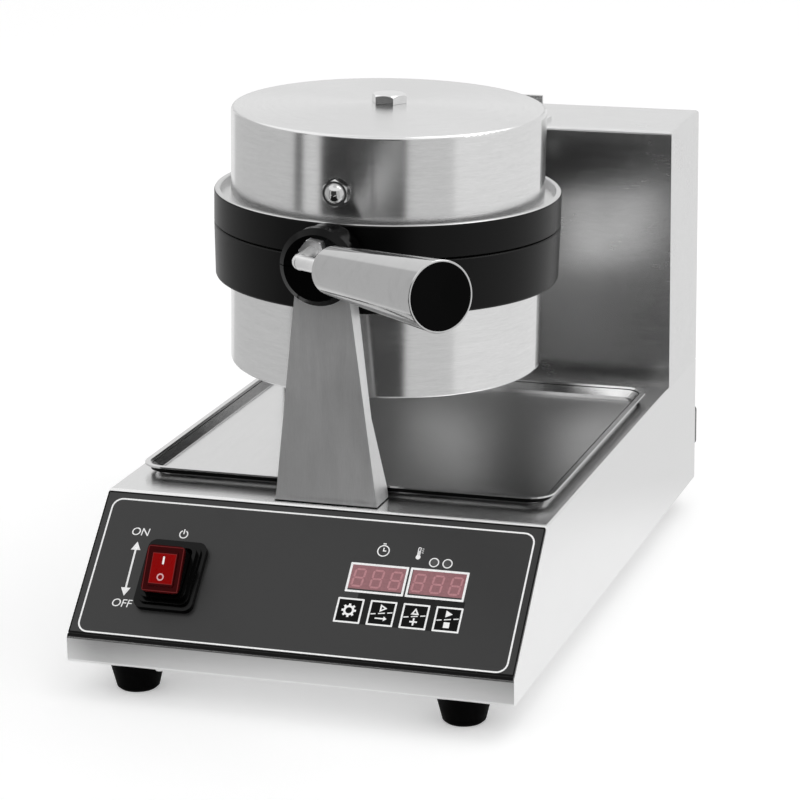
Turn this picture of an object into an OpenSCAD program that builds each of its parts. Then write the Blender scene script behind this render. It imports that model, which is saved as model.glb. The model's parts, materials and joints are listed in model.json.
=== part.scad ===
// Rotating waffle cone baker: a round twin mould that turns over in a front post and a rear column,
// on a sheet-metal base with a sloping control panel and a drip tray. Millimetres, +Z up, +X right,
// +Y to the back. The origin is on the table, under the middle of the whole machine.

/* [Base] */
// Width of the base and column
base_w = 260; // [240:5:300]
// Depth of the base
base_d = 438; // [425:5:470]
// Height of the upright lip under the panel
lip_h = 15; // [10:1:22]
// Height of the deck above the underside
deck_h = 81.5; // [75:0.5:95]
// Depth that the sloping panel takes
slope_d = 68.5; // [62:0.5:69]
// Thickness of the sheet metal
sheet_t = 1.5; // [1:0.1:2]
// Outside radius of the sheet bends
bend_r = 2; // [1.5:0.5:3]
// Width of the return flanges round the underside
flange_w = 42; // [40:1:50]

/* [Feet] */
// Height of the rubber feet
foot_h = 18; // [12:1:25]
// Diameter of a foot under the base
foot_top_d = 32; // [26:1:36]
// Diameter of a foot on the table
foot_bottom_d = 23; // [18:1:26]
// Distance from the side of the base to a foot's centre
foot_inset_x = 34; // [28:1:45]
// Distance from the lip or back to a foot's centre
foot_inset_y = 20; // [19:1:22]

/* [Column] */
// Distance from the middle of the mould to the column's front
column_room = 170.5; // [170:0.5:174]
// Height of the column above the turning axis
column_rise = 26.2; // [24:0.1:32]

/* [Mould] */
// Height of the turning axis above the deck
axis_h = 138.3; // [136:0.1:145]
// Distance from the lip to the middle of the mould
mold_y = 190.5; // [189:0.5:193]
// Angle at which the mould comes to rest on its stop
rest_tilt = 1.6; // [0:0.2:2]
// Diameter of the mould rings at the parting line
ring_d = 202.6; // [198:0.2:204]
// Height of the upper ring above the parting line
upper_ring_h = 19.7; // [18:0.1:24]
// Depth of the lower ring below the parting line
lower_ring_h = 31.7; // [28:0.1:34]
// Draft of the lower ring's wall
lower_draft = 0.8; // [0:0.2:2]
// Width of the bare rim on the rings
rim_w = 3.7; // [3:0.1:4.5]
// Depth of the channel inside the rim
channel_h = 4; // [3:0.5:6]
// Gap between the upper and the lower mould
parting_gap = 0.5; // [0.3:0.1:1]
// Edge break along the parting line
parting_edge = 0.7; // [0.3:0.1:1]

/* [Covers] */
// Diameter of the covers
cover_d = 183; // [178:1:186]
// Height of the upper cover above the parting line
upper_cover_h = 67.5; // [60:0.1:70]
// Depth of the lower cover below the parting line
lower_cover_h = 83.1; // [75:0.1:84]
// Wall of the covers
cover_t = 1.2; // [0.8:0.1:2]
// Radius of the covers' edge
cover_r = 2; // [1.5:0.5:5]
// Crown of the covers' faces
cover_crown = 2.4; // [0:0.2:4]
// Width across the flats of the cap nuts
cap_af = 14; // [12:0.5:15]
// Height of the cap nuts above the channel floor
cap_rise = 19.7; // [18:0.1:23]
// Width across the flats of the centre bolts
bolt_af = 18.4; // [15:0.1:19]
// Height of the centre bolts' heads
bolt_head_h = 5; // [4:0.5:7]
// Diameter of the centre bolts' shanks
bolt_d = 12; // [8:1:14]

/* [Baking plates] */
// Diameter of the baking plates
plate_d = 186; // [180:1:188]
// Diameter of the waffle field
field_d = 172; // [150:2:174]
// Thickness of the baked wafer
wafer_t = 1.8; // [1.4:0.2:2.4]
// Pitch of the waffle grid
grid_pitch = 10; // [8:0.5:14]
// Width of a groove at the plate's face
groove_w = 3.2; // [2.4:0.2:4]
// Width of a groove at its bottom
groove_base_w = 1.6; // [1:0.2:2]
// Depth of the grooves
groove_depth = 1.6; // [1:0.1:2.2]
// Thickness of the baking plates
plate_t = 8.2; // [7:0.2:9]
// Diameter of the heater tube
heater_tube_d = 8; // [6.5:0.5:10]
// Diameter of the heater's circle
heater_d = 116; // [100:2:124]

/* [Hinge and shaft] */
// Distance from the middle of the mould to the hinge pin
hinge_y = 111; // [110:0.5:113]
// Diameter of the hinge pin
pin_d = 8; // [6:0.5:9]
// Radius of the hinge knuckles
knuckle_r = 7; // [6.5:0.5:8]
// Half width of the lower knuckles
knuckle_x = 26; // [22:1:32]
// Width of an upper knuckle
ear_w = 12; // [10:1:15]
// Opening angle of the upper mould
lid_angle = 80; // [74:1:81]
// Diameter of the hollow rear shaft
shaft_d = 16; // [14:1:17]
// Diameter of the wire way in the shaft
wire_way_d = 9; // [7:1:10]
// Radial clearance of pins and shafts in their bores
running_gap = 0.05; // [0.02:0.01:0.1]

/* [Front post] */
// Distance from the lip to the post's front face
post_y = 72; // [71.5:0.5:73]
// Width of the post at the deck
post_w = 60.4; // [54:0.2:66]
// Width of the post at its top
post_top_w = 31.6; // [31.2:0.2:34]
// Thickness of the post's sheet
post_t = 2; // [1.5:0.1:2.2]
// Depth of the side flanges at the deck
post_foot_d = 20.6; // [18:0.2:21]
// Depth of the side flanges at their narrowest
post_waist_d = 10; // [8:0.5:12]
// Depth of the side flanges at the top
post_ear_d = 15.6; // [13:0.2:16.4]

/* [Trunnion and handle] */
// Diameter of the trunnion's front flange
hub_d = 44; // [42:0.5:46]
// Diameter of the trunnion's rear flange
hub_rear_d = 41; // [39:0.5:42]
// Diameter of the neck that turns in the post
neck_d = 23.8; // [22:0.2:25]
// Thickness of the front flange
hub_t = 9; // [8:0.5:10]
// Bevel of the front flange
hub_bevel = 3.3; // [2:0.1:4]
// Height of the handle rod above the turning axis
handle_h = 9.9; // [9:0.1:12]
// Turn of the handle rod in its thread
handle_turn = 7.5; // [0:0.5:10]
// Distance from the lip to the bend of the rod
handle_y = 35.2; // [30:0.2:40]
// Angle between the grip and the machine's width
grip_angle = 41.9; // [30:0.1:50]
// Distance from the rod's bend to the end of the grip
handle_reach = 150; // [140:0.5:160]
// Distance from the rod's bend to the grip
grip_start = 37.7; // [30:0.1:45]
// Diameter of the handle rod
rod_d = 8.5; // [8:0.5:10]
// Diameter of the grip at the rod
grip_d = 26.4; // [24:0.2:30]
// Diameter of the grip at its end
grip_end_d = 37.3; // [32:0.1:40]

/* [Control panel] */
// Thickness of the panel overlay
overlay_t = 0.8; // [0.6:0.1:1.2]
// Distance of the switch from the middle of the panel
switch_x = 77.5; // [72:0.5:82]
// Height of the switch along the slope
switch_s = 42; // [38:0.5:46]
// Width of the switch flange
switch_w = 35; // [33:0.5:37]
// Length of the switch flange
switch_l = 43; // [41:0.5:45]
// Tilt of the rocker from level
rocker_tilt = 14; // [8:1:14]
// Height of the rocker's face above its pivot
rocker_h = 10.5; // [9:0.5:12]
// Pitch of the keys
key_pitch = 18.9; // [17:0.1:20]
// Side of a key
key_w = 13; // [11:0.5:14]
// Travel of a key
key_travel = 0.6; // [0.3:0.1:0.8]
// Height of the keys along the slope
key_s = 32.2; // [30:0.2:34]
// Width of a display window
window_w = 31.4; // [28:0.2:33]
// Height of a display window
window_h = 15.4; // [14:0.2:17]
// Height of the windows along the slope
window_s = 53.4; // [52:0.2:55]

/* [Drip tray] */
// Width of the tray over its rim
tray_w = 247; // [230:1:252]
// Distance from the lip to the tray's front rim
tray_y = 95; // [94:0.5:100]
// Depth of the tray over its rim
tray_d = 242; // [220:2:250]
// Height of the tray
tray_h = 6.2; // [5:0.2:9]
// Flare of the tray's wall
tray_flare = 7; // [4:0.5:10]
// Thickness of the tray's sheet
tray_t = 1; // [0.8:0.1:1.5]

/* [Mains inlet] */
// Distance from the side of the base to the cable gland
gland_inset = 20; // [20:1:30]
// Height of the cable gland above the underside
gland_h = 34.5; // [30:0.5:42]
// Radius of the cable way in the gland
gland_bore_r = 4.5; // [3:0.5:5]
// Length that the gland stands out of the back
gland_l = 18; // [14:1:24]
// Thickness of the entry plate
entry_t = 4.4; // [2:0.2:6]

/* [Hidden] */

$fn = 96;
seat_gap = 0.05;                     // clearance of a part that is pushed or screwed in
screw_gap = 0.2;                     // radial clearance of a screw or stud in its hole
air_gap = 0.3;                       // clearance of a part that moves freely
deck_z = foot_h + deck_h;
lip_z = foot_h + lip_h;
column_h = axis_h + column_rise;
column_top = deck_z + column_h;
column_y = mold_y + column_room;
column_d = base_d - column_y;
axis_z = deck_z + axis_h;
slope_rise = deck_h - lip_h;
slope_a = atan2(slope_rise, slope_d);
slope_l = norm([slope_d, slope_rise]);
grip_front = handle_y - handle_reach * sin(grip_angle) - grip_end_d / 2 * cos(grip_angle);
rear_y = base_d + gland_l;
mid_y = (grip_front + rear_y) / 2;
half_gap = parting_gap / 2;
face_z = wafer_t / 2;
back_z = face_z + plate_t;
ring_r = ring_d / 2;
cap_h = cap_af * 0.36;
cap_l = cap_af * 0.68;
dome_r = cap_af * 0.43;
cap_washer_t = 1;
stop_gap = 0.2;                      // gap between the arm and the pad it comes to rest on
stud_r = 3;
lug_angles = [-90, 45, 135];
bore_r = 80;
lug_t = 7;

// ---------- profiles ----------
function unit(v) = v / norm(v);
function short_turn(a) = a > 180 ? a - 360 : a < -180 ? a + 360 : a;
// The arc of radius r that rounds the corner p1 between p0 and p2
function corner(p0, p1, p2, r, n = 6) =
    r <= 0 ? [p1] :
    let(u = unit(p0 - p1), v = unit(p2 - p1), half = acos(u * v) / 2)
    let(c = p1 + unit(u + v) * r / sin(half))
    let(s = p1 + u * r / tan(half) - c, e = p1 + v * r / tan(half) - c)
    let(a = atan2(s[1], s[0]), sweep = short_turn(atan2(e[1], e[0]) - a))
    [for (i = [0 : n]) c + r * [cos(a + sweep * i / n), sin(a + sweep * i / n)]];
// A closed outline with every corner rounded; r is one radius or a list of them
function rounded(pts, r) = [
    for (i = [0 : len(pts) - 1])
        each corner(pts[(i + len(pts) - 1) % len(pts)], pts[i], pts[(i + 1) % len(pts)],
                    is_list(r) ? r[i] : r)
];
function box_pts(w, d) = [[-w / 2, -d / 2], [w / 2, -d / 2], [w / 2, d / 2], [-w / 2, d / 2]];

module plate(w, d, h, r) linear_extrude(h) polygon(rounded(box_pts(w, d), r));

// Extrudes a profile of (y, z) across the width, centred on x = 0
module across(w) rotate([90, 0, 90]) translate([0, 0, -w / 2]) linear_extrude(w) children();

// Revolves a profile of (radius, y) about the Y axis
module turned_y() rotate([-90, 0, 0]) rotate_extrude() children();

module hex(af, h) cylinder(d = af / cos(30), h = h, $fn = 6);

module rod_y(r, y0, y1) translate([0, y0, 0]) rotate([-90, 0, 0]) cylinder(r = r, h = y1 - y0);

module rod_x(r, x0, x1) translate([x0, 0, 0]) rotate([0, 90, 0]) cylinder(r = r, h = x1 - x0);

// A pan-head screw whose head sits on z = 0, with its shank below
module pan_screw(d, l) {
    intersection() {
        translate([0, 0, -d * 0.9]) sphere(r = d * 1.5);
        cylinder(r = d, h = d);
    }
    translate([0, 0, -l]) cylinder(d = d, h = l + 0.1, $fn = 48);
}

// The screw with its washer-faced nut, clamping a stack of thickness t that lies under z = 0
module screw_and_nut(r, t) {
    pan_screw(2 * r, t + 2 * r + 1);
    translate([0, 0, -t - 2 * r - seat_gap]) difference() {
        hex(3.6 * r, 2 * r * 0.8);
        translate([0, 0, -1]) cylinder(r = r + seat_gap, h = 2 * r + 2);
    }
}

m3_r = 1.5;
m4_r = 2;
module screw_hole(r) translate([0, 0, -10]) cylinder(r = r + screw_gap, h = 20);

// ---------- frames ----------
module home() translate([0, -mid_y, 0]) children();
module on_panel() home() translate([0, 0, lip_z]) rotate([slope_a, 0, 0]) children();
module at_axis() home() translate([0, mold_y, axis_z]) rotate([0, rest_tilt, 0]) children();
module upper() at_axis() children();
module lower() at_axis() mirror([0, 0, 1]) children();
module at_handle() at_axis() translate([0, 0, handle_h]) rotate([0, -handle_turn, 0]) children();

module at_feet() for (x = [-1, 1], y = [foot_inset_y, base_d - foot_inset_y])
    translate([x * (base_w / 2 - foot_inset_x), y, foot_h]) children();

// ---------- base ----------
function base_outline(inset) =
    [
        [inset, foot_h + inset],
        [inset, lip_z - inset * tan((90 - slope_a) / 2)],
        [slope_d + inset * tan(slope_a / 2), deck_z - inset],
        [base_d - inset, deck_z - inset],
        [base_d - inset, foot_h + inset]
    ];

vent_pitch = 9;
vent_w = 4;
vent_l = 46;
wire_hole = [110, column_d / 2 - 2.5];
base_open = [base_w - 2 * flange_w, base_d - 2 * flange_w];
base_mid_y = base_d / 2;
deck_edge_r = 1.2;

module vents(n) for (i = [0 : n - 1]) translate([(i - (n - 1) / 2) * vent_pitch, 0, 0]) children();

module base_housing() color("#d9dbdc") difference() {
    intersection() {
        home() across(base_w) polygon(rounded(base_outline(0), bend_r));
        home() translate([0, base_d, deck_z / 2]) rotate([90, 0, 0])
            plate(base_w, deck_z, base_d, deck_edge_r);
    }
    home() across(base_w - 2 * sheet_t) polygon(base_outline(sheet_t));
    home() translate([0, base_mid_y, foot_h - 1]) plate(base_open[0], base_open[1], sheet_t + 2, 4);
    home() translate([0, column_y + column_d / 2, deck_z - sheet_t - 1])
        plate(wire_hole[0], wire_hole[1], sheet_t + 2, 5);
    home() for (side = [-1, 1]) translate([side * 70, base_d - sheet_t - 1, foot_h + deck_h * 0.62])
        vents(5) rotate([-90, 0, 0]) plate(vent_w, 26, sheet_t + 2, 1.9);
    home() gland_at(base_d - sheet_t - 1) cylinder(r = gland_thread_r + seat_gap, h = sheet_t + 2);
    home() at_post_screws() screw_hole(m4_r);
    home() at_feet() screw_hole(foot_screw_r);
    home() at_base_screws() screw_hole(m3_r);
    on_panel() translate([0, 0, -sheet_t - 1]) panel_holes(sheet_t + 2, 0);
}

// The holes through the panel sheet (margin 0) or through its overlay
module panel_holes(h, margin) {
    translate([-switch_x, switch_s, 0]) plate(switch_body[0] + 0.4 + margin, switch_body[1] + 0.4 + margin, h, 1);
    for (x = window_xs) translate([x, window_s, 0]) plate(window_w + 0.2 - 2 * margin, window_h + 0.2 - 2 * margin, h, 0.8);
    for (x = key_xs) translate([x, key_s, 0]) plate(key_w + 2 * air_gap, key_w + 2 * air_gap, h, 0.8);
    for (x = lamp_xs) translate([x, lamp_s, 0]) cylinder(r = lamp_r + seat_gap, h = h);
}

base_plate_t = 1.2;
plate_lap = 9;

module base_plate() color("#c4c7c9") home() difference() {
    translate([0, base_mid_y, foot_h + sheet_t])
        plate(base_open[0] + 2 * plate_lap, base_open[1] + 2 * plate_lap, base_plate_t, 3);
    for (side = [-1, 1]) translate([side * 45, base_mid_y + 30, foot_h]) vents(7)
        plate(vent_w, vent_l, 6, 1.9);
    at_base_screws() screw_hole(m3_r);
}

module at_base_screws() for (x = [-1, 1], y = [-1, 1])
    translate([x * (base_open[0] + plate_lap) / 2, base_mid_y + y * (base_open[1] / 2 - 30), foot_h]) children();

foot_screw_r = 2.5;
foot_wall = 3.2;
foot_seat = 0.55;
module rubber_feet() color("#151515") home() at_feet() mirror([0, 0, 1]) difference() {
    rotate_extrude() polygon([
        [foot_screw_r + seat_gap, 0], [foot_top_d / 2 - 1, 0], [foot_top_d / 2, 1],
        [foot_bottom_d / 2 + 0.6, foot_h - 1.4], [foot_bottom_d / 2 - 1, foot_h],
        [foot_screw_r + foot_wall, foot_h], [foot_screw_r + foot_wall, foot_seat * foot_h],
        [foot_screw_r + seat_gap, foot_seat * foot_h]
    ]);
}

module foot_screws() color("#b9bcbe") home() at_feet() {
    translate([0, 0, -foot_seat * foot_h - seat_gap]) mirror([0, 0, 1])
        screw_and_nut(foot_screw_r, foot_seat * foot_h + sheet_t + seat_gap);
}

// ---------- front post ----------
notch_r = neck_d / 2 + running_gap;
post_ear_z = axis_h - sqrt(pow(hub_rear_d / 2, 2) - pow(post_top_w / 2 - post_t, 2)) - 1;
post_lean = atan2((post_w - post_top_w) / 2, post_ear_z);
post_foot_t = 2;

// Half width of the post at a height, less t of its sheet
function post_half(z, t) = post_w / 2 + (post_top_w - post_w) / 2 * z / post_ear_z - t / cos(post_lean);
// The post seen from its side: its flanges' depth, and the bare face above them
function post_side() = rounded([
    [0, 0], [post_foot_d, 0], [post_foot_d, 7], [post_waist_d, axis_h * 0.36], [post_waist_d + 1, axis_h * 0.55],
    [post_ear_d - 2.5, post_ear_z - 10], [post_ear_d, post_ear_z - 7.5], [post_ear_d, post_ear_z],
    [post_t, post_ear_z], [post_t, axis_h], [0, axis_h]
], [0, 0, 2, 12, 12, 1, 1.5, 2, 0, 0, 0]);

module front_post() color("#8f9193") home() translate([0, post_y, deck_z]) difference() {
    intersection() {
        translate([0, post_foot_d + 1, 0]) rotate([90, 0, 0]) linear_extrude(post_foot_d + 2) polygon([
            [-post_half(0, 0), 0], [post_half(0, 0), 0], [post_top_w / 2, post_ear_z], [post_top_w / 2, axis_h + 1],
            [-post_top_w / 2, axis_h + 1], [-post_top_w / 2, post_ear_z]
        ]);
        across(post_w + 2) polygon(post_side());
    }
    translate([0, post_foot_d + 2, 0]) rotate([90, 0, 0]) linear_extrude(post_foot_d + 2 - post_t) polygon([
        for (side = [-1, 1], z = side < 0 ? [post_foot_t, post_ear_z + 1] : [post_ear_z + 1, post_foot_t])
            [side * post_half(z, post_t), z]
    ]);
    translate([0, -1, axis_h]) rod_y(notch_r, 0, post_t + 2);
    at_post_holes() screw_hole(m4_r);
}

post_screw_x = 17;
post_screw_y = 11;
module at_post_holes() for (x = [-1, 1]) translate([x * post_screw_x, post_screw_y, 0]) children();
module at_post_screws() translate([0, post_y, deck_z]) at_post_holes() children();

// ---------- column ----------
module column_shape(inset, back) intersection() {
    across(base_w - 2 * inset) polygon(rounded([
        [column_y + inset, deck_z - (inset > 0 ? 1 : 0)], [column_y + inset, column_top - inset],
        [base_d + back, column_top - inset], [base_d + back, deck_z - (inset > 0 ? 1 : 0)]
    ], [0, bend_r, 0, 0]));
    translate([0, base_d + back, (deck_z + column_top) / 2 - bend_r]) rotate([90, 0, 0])
        plate(base_w - 2 * inset, column_h + 2 * bend_r - 2 * inset, column_d + 2 * back, bend_r - inset);
}

back_gap = 0.4;
return_w = 22;
module column_cover() color("#d9dbdc") home() difference() {
    union() {
        difference() {
            column_shape(0, 0);
            column_shape(sheet_t, 1);
        }
        for (side = [-1, 1]) translate([side > 0 ? base_w / 2 - sheet_t - return_w : sheet_t / 2 - base_w / 2,
            base_d - 2 * sheet_t - seat_gap, deck_z]) cube([return_w + sheet_t / 2, sheet_t, column_h - sheet_t / 2]);
    }
    translate([0, column_y - 1, axis_z]) rotate([-90, 0, 0]) cylinder(r = sleeve_r + seat_gap, h = sheet_t + 2);
    at_bearing_screws() rod_y(m4_r + screw_gap, -1, sheet_t + 1);
    at_rest_screws() screw_hole(m4_r);
    at_back_screws() rod_y(m3_r + screw_gap, -3 * sheet_t, 1);
}

module column_back() color("#cfd1d3") home() difference() {
    translate([0, base_d, deck_z + (column_h - sheet_t) / 2]) rotate([90, 0, 0])
        plate(base_w - 2 * sheet_t - 2 * back_gap, column_h - sheet_t - 2 * back_gap, sheet_t, 2);
    for (row = [-1, 1]) translate([0, base_d - sheet_t - 1, deck_z + column_h / 2 + row * 32]) vents(15)
        rotate([-90, 0, 0]) plate(vent_w, vent_l, sheet_t + 2, 1.9);
    at_back_screws() rod_y(m3_r + screw_gap, -sheet_t - 1, 1);
}

module at_back_screws() for (x = [-1, 1], z = [0.12, 0.88])
    translate([x * (base_w / 2 - return_w / 2 - sheet_t), base_d, deck_z + z * column_h]) children();

// The screws that hold the base plate and the column's back
module cover_screws() color("#b9bcbe") home() {
    at_base_screws() mirror([0, 0, 1]) pan_screw(2 * m3_r, 8);
    at_back_screws() rotate([-90, 0, 0]) pan_screw(2 * m3_r, 8);
}

rest_w = 92;
rest_t = 2;
rest_h = 19;
rest_foot_d = 22;
rest_gap = 0.4;
// The hinge pin to the edge round of the upper cover, along the mould and above the parting line
edge_mid = [hinge_y - cover_d / 2 + cover_r, upper_cover_h - cover_r];
rest_face_y = mold_y + hinge_y - edge_mid[0] * cos(lid_angle) + edge_mid[1] * sin(lid_angle) + cover_r + rest_gap;

module lid_rest() color("#8f9193") home() difference() {
    across(rest_w) polygon(rounded([
        [rest_face_y, column_top], [rest_face_y, column_top + rest_h], [rest_face_y + rest_t, column_top + rest_h],
        [rest_face_y + rest_t, column_top + rest_t], [rest_face_y + rest_foot_d, column_top + rest_t],
        [rest_face_y + rest_foot_d, column_top]
    ], [rest_t, 0.5, 0.5, 0.8, 0.5, 0]));
    at_rest_screws() screw_hole(m4_r);
}

rest_screw_x = 20;
module at_rest_screws() for (x = [-1, 1]) translate([x * rest_screw_x, rest_face_y + rest_foot_d * 0.55, column_top]) children();

// ---------- rear bearing ----------
sleeve_r = 14;
bearing_flange_r = 24;
bearing_flange_t = 5;
sleeve_l = 16;
bearing_pcd = 38;
module at_bearing_screws() for (a = [45 : 90 : 315])
    translate([bearing_pcd / 2 * cos(a), column_y, axis_z + bearing_pcd / 2 * sin(a)]) children();

module bearing_housing() color("#6f7275") home() difference() {
    translate([0, 0, axis_z]) turned_y() polygon(rounded([
        [shaft_d / 2 + running_gap, column_y - bearing_flange_t], [bearing_flange_r, column_y - bearing_flange_t],
        [bearing_flange_r, column_y - seat_gap], [sleeve_r, column_y - seat_gap], [sleeve_r, column_y + sleeve_l],
        [shaft_d / 2 + running_gap, column_y + sleeve_l]
    ], [1, 1.5, 0, 0, 1, 0]));
    at_bearing_screws() rod_y(m4_r + screw_gap, -bearing_flange_t - 1, 1);
}

stop_y = column_y + sleeve_l + 1;
stop_plate_t = 2;
stop_w = 60;
stop_drop = 30;
collar_l = 10;
collar_r = 14;
pad_x = collar_r + 2;
arm_l = column_rise - sheet_t - 1;    // the arm swings over the shaft, under the column's top
arm_t = 8;
stop_top_gap = 2.7;
stop_rise = column_rise - sheet_t - stop_top_gap;

// Bracket behind the column's front with the two pads that end the half turn
module flip_stop() color("#8f9193") home() translate([0, 0, axis_z]) difference() {
    union() {
        translate([-stop_w / 2, column_y + sheet_t + seat_gap, -stop_drop]) cube([stop_w, stop_plate_t, stop_drop + stop_rise]);
        translate([-stop_w / 2, column_y + sheet_t + seat_gap, -stop_drop])
            cube([stop_w, stop_y + collar_l - column_y - sheet_t - seat_gap, stop_plate_t]);
        for (side = [-1, 1]) translate([side > 0 ? pad_x : -stop_w / 2, stop_y, -stop_drop])
            cube([stop_w / 2 - pad_x, collar_l, stop_drop]);
    }
    rotate([0, rest_tilt, 0]) translate([-stop_w, stop_y - 1, -arm_t / 2 - stop_gap]) cube([2 * stop_w, collar_l + 2, stop_w]);
    rod_y(sleeve_r + air_gap, column_y, column_y + 3 * sheet_t);
    translate([0, 0, -axis_z]) at_bearing_screws() rod_y(m4_r + screw_gap, 0, 10);
}

// The screws and nuts of the post, the bearing and the lid rest
module bracket_screws() color("#c9cbcd") {
    home() at_post_screws() translate([0, 0, post_foot_t]) screw_and_nut(m4_r, post_foot_t + sheet_t);
    home() at_rest_screws() translate([0, 0, rest_t]) screw_and_nut(m4_r, rest_t + sheet_t);
    home() at_bearing_screws() translate([0, -bearing_flange_t, 0]) rotate([90, 0, 0])
        screw_and_nut(m4_r, bearing_flange_t + sheet_t + stop_plate_t + seat_gap);
}

// ---------- mains inlet ----------
gland_thread_r = 7.5;
entry_w = 40;
entry_h = 27;
module gland_at(y) translate([base_w / 2 - gland_inset, y, foot_h + gland_h]) rotate([-90, 0, 0]) children();

module cable_entry_plate() color("#55585b") home() difference() {
    gland_at(base_d + seat_gap) plate(entry_w, entry_h, entry_t, 3);
    gland_at(base_d - 1) cylinder(r = gland_thread_r + seat_gap, h = entry_t + 2);
}

module cable_gland() color("#1b1b1b") home() difference() {
    union() {
        gland_at(base_d - 10) cylinder(r = gland_thread_r, h = 12 + entry_t);
        gland_at(base_d + entry_t + 2 * seat_gap) hex(19, 5);
        gland_at(base_d + entry_t + 4) rotate_extrude() polygon(rounded([
            [0, 0], [9, 0], [9, gland_l - entry_t - 7], [6.5, gland_l - entry_t - 4], [0, gland_l - entry_t - 4]
        ], [0, 0.6, 1.5, 0.8, 0]));
    }
    gland_at(base_d - 11) cylinder(r = gland_bore_r, h = gland_l + 12);
}

module gland_nut() color("#1b1b1b") home() difference() {
    gland_at(base_d - sheet_t - seat_gap - 5) hex(20, 5);
    gland_at(base_d - sheet_t - 7) cylinder(r = gland_thread_r + seat_gap, h = 8);
}

// ---------- control panel ----------
switch_body = [27.2, 34];
window_xs = [41.1, 76.2];
key_xs = [for (i = [0 : 3]) 29.5 + i * key_pitch];
lamp_xs = [71.3, 79];
lamp_s = 66;
lamp_r = 2;
board_z = -14;
board_t = 1.6;
overlay_edge = 0.4;

module panel_overlay() color("#2e2f30") on_panel() difference() {
    translate([0, slope_l / 2, seat_gap]) plate(base_w - 2 * overlay_edge, slope_l - 2 * bend_r, overlay_t, 1);
    panel_holes(overlay_t + 2, 0.2);
}

module display_windows() color("#7a1414") on_panel() for (x = window_xs)
    translate([x, window_s, seat_gap]) plate(window_w - 0.4, window_h - 0.4, overlay_t, 0.6);

module display_modules() color("#3a0d0d") on_panel() for (x = window_xs) {
    translate([x, window_s, board_z + board_t + seat_gap]) plate(window_w - 0.2, window_h - 0.2, -board_z - board_t - 2 * seat_gap, 0.4);
    for (i = [-2 : 2], side = [-1, 1]) translate([x + i * 2.54, window_s + side * (window_h / 2 - 2), board_z - 1.5])
        cylinder(r = 0.3, h = 1.7 + board_t, $fn = 16);
}

module indicator_lamps() color("#c23b22") on_panel() for (x = lamp_xs) translate([x, lamp_s, 0]) {
    cylinder(r = lamp_r, h = overlay_t + 0.6);
    translate([0, 0, board_z + board_t + seat_gap]) cylinder(r = lamp_r - 0.2, h = -board_z - board_t);
}

collar_steps = [[30, 37.5, 6.2], [27.2, 34, 9.2]];
collar_hole = [23.2, 30];
switch_flange_t = 3.5;
switch_back = 24;
pivot_h = 6;
pivot_r = 1.5;
rocker_size = [22.4, 27];
rocker_skirt = 4;
lens_t = 1.5;
rocker_pit = pivot_h - rocker_size[1] / 2 * sin(rocker_tilt) - rocker_skirt * cos(rocker_tilt) - air_gap;

module switch_housing() color("#101010") on_panel() translate([-switch_x, switch_s, 0]) difference() {
    union() {
        translate([0, 0, overlay_t + 2 * seat_gap]) plate(switch_w, switch_l, switch_flange_t, 5);
        for (s = collar_steps) translate([0, 0, overlay_t + 1]) plate(s[0], s[1], s[2] - overlay_t - 1, 4.4);
        translate([0, 0, -switch_back]) plate(switch_body[0], switch_body[1], switch_back + 2, 2);
    }
    translate([0, 0, rocker_pit]) plate(collar_hole[0], collar_hole[1], 20, 3);
    translate([0, 0, pivot_h]) rod_x(pivot_r + running_gap, -collar_hole[0] / 2 - 1.2, collar_hole[0] / 2 + 1.2);
}

module switch_terminals() color("#b08d4a") on_panel() translate([-switch_x, switch_s, -switch_back]) for (x = [-5, 5], s = [-8, 0, 8])
    translate([x - 0.4, s - 3.1, -9]) cube([0.8, 6.2, 9 - seat_gap]);

module at_rocker() on_panel() translate([-switch_x, switch_s, pivot_h]) rotate([rocker_tilt, 0, 0]) children();

module rocker() color("#161616") at_rocker() {
    translate([0, 0, -rocker_skirt]) plate(rocker_size[0], rocker_size[1], rocker_skirt + rocker_h - lens_t, 3);
    rod_x(pivot_r, -collar_hole[0] / 2 - 1, collar_hole[0] / 2 + 1);
}

module rocker_lens() color("#a00808") at_rocker() {
    translate([0, 0, rocker_h - lens_t + seat_gap]) plate(rocker_size[0], rocker_size[1], lens_t - seat_gap, 3);
    translate([0, 0, rocker_h - 0.2]) plate(rocker_size[0] - 7, rocker_size[1] - 7, 0.9, 0.8);
}

key_flange = 1.5;
module key(i) color("#333435") on_panel() translate([key_xs[i], key_s, 0]) {
    translate([0, 0, -sheet_t - air_gap - 1]) plate(key_w + 2 * key_flange, key_w + 2 * key_flange, 1, 0.8);
    translate([0, 0, -sheet_t - air_gap - 0.5]) plate(key_w, key_w, overlay_t + sheet_t + air_gap + 0.7, 0.6);
}

module key_set() key(0);
module key_right() key(1);
module key_up() key(2);
module key_start() key(3);

module key_switches() color("#222222") on_panel() for (x = key_xs) translate([x, key_s, board_z + board_t + seat_gap]) {
    plate(6, 6, 3.5, 0.3);
    cylinder(r = 1.75, h = -board_z - board_t - sheet_t - air_gap - 1 - key_travel - 0.2);
}

board = [96, 62];
board_x = 58;
board_s = 46;
module at_board_posts() for (x = [-1, 1], s = [-1, 1]) translate([board_x + x * (board[0] / 2 - 4), board_s + s * (board[1] / 2 - 4), 0]) children();

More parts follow.
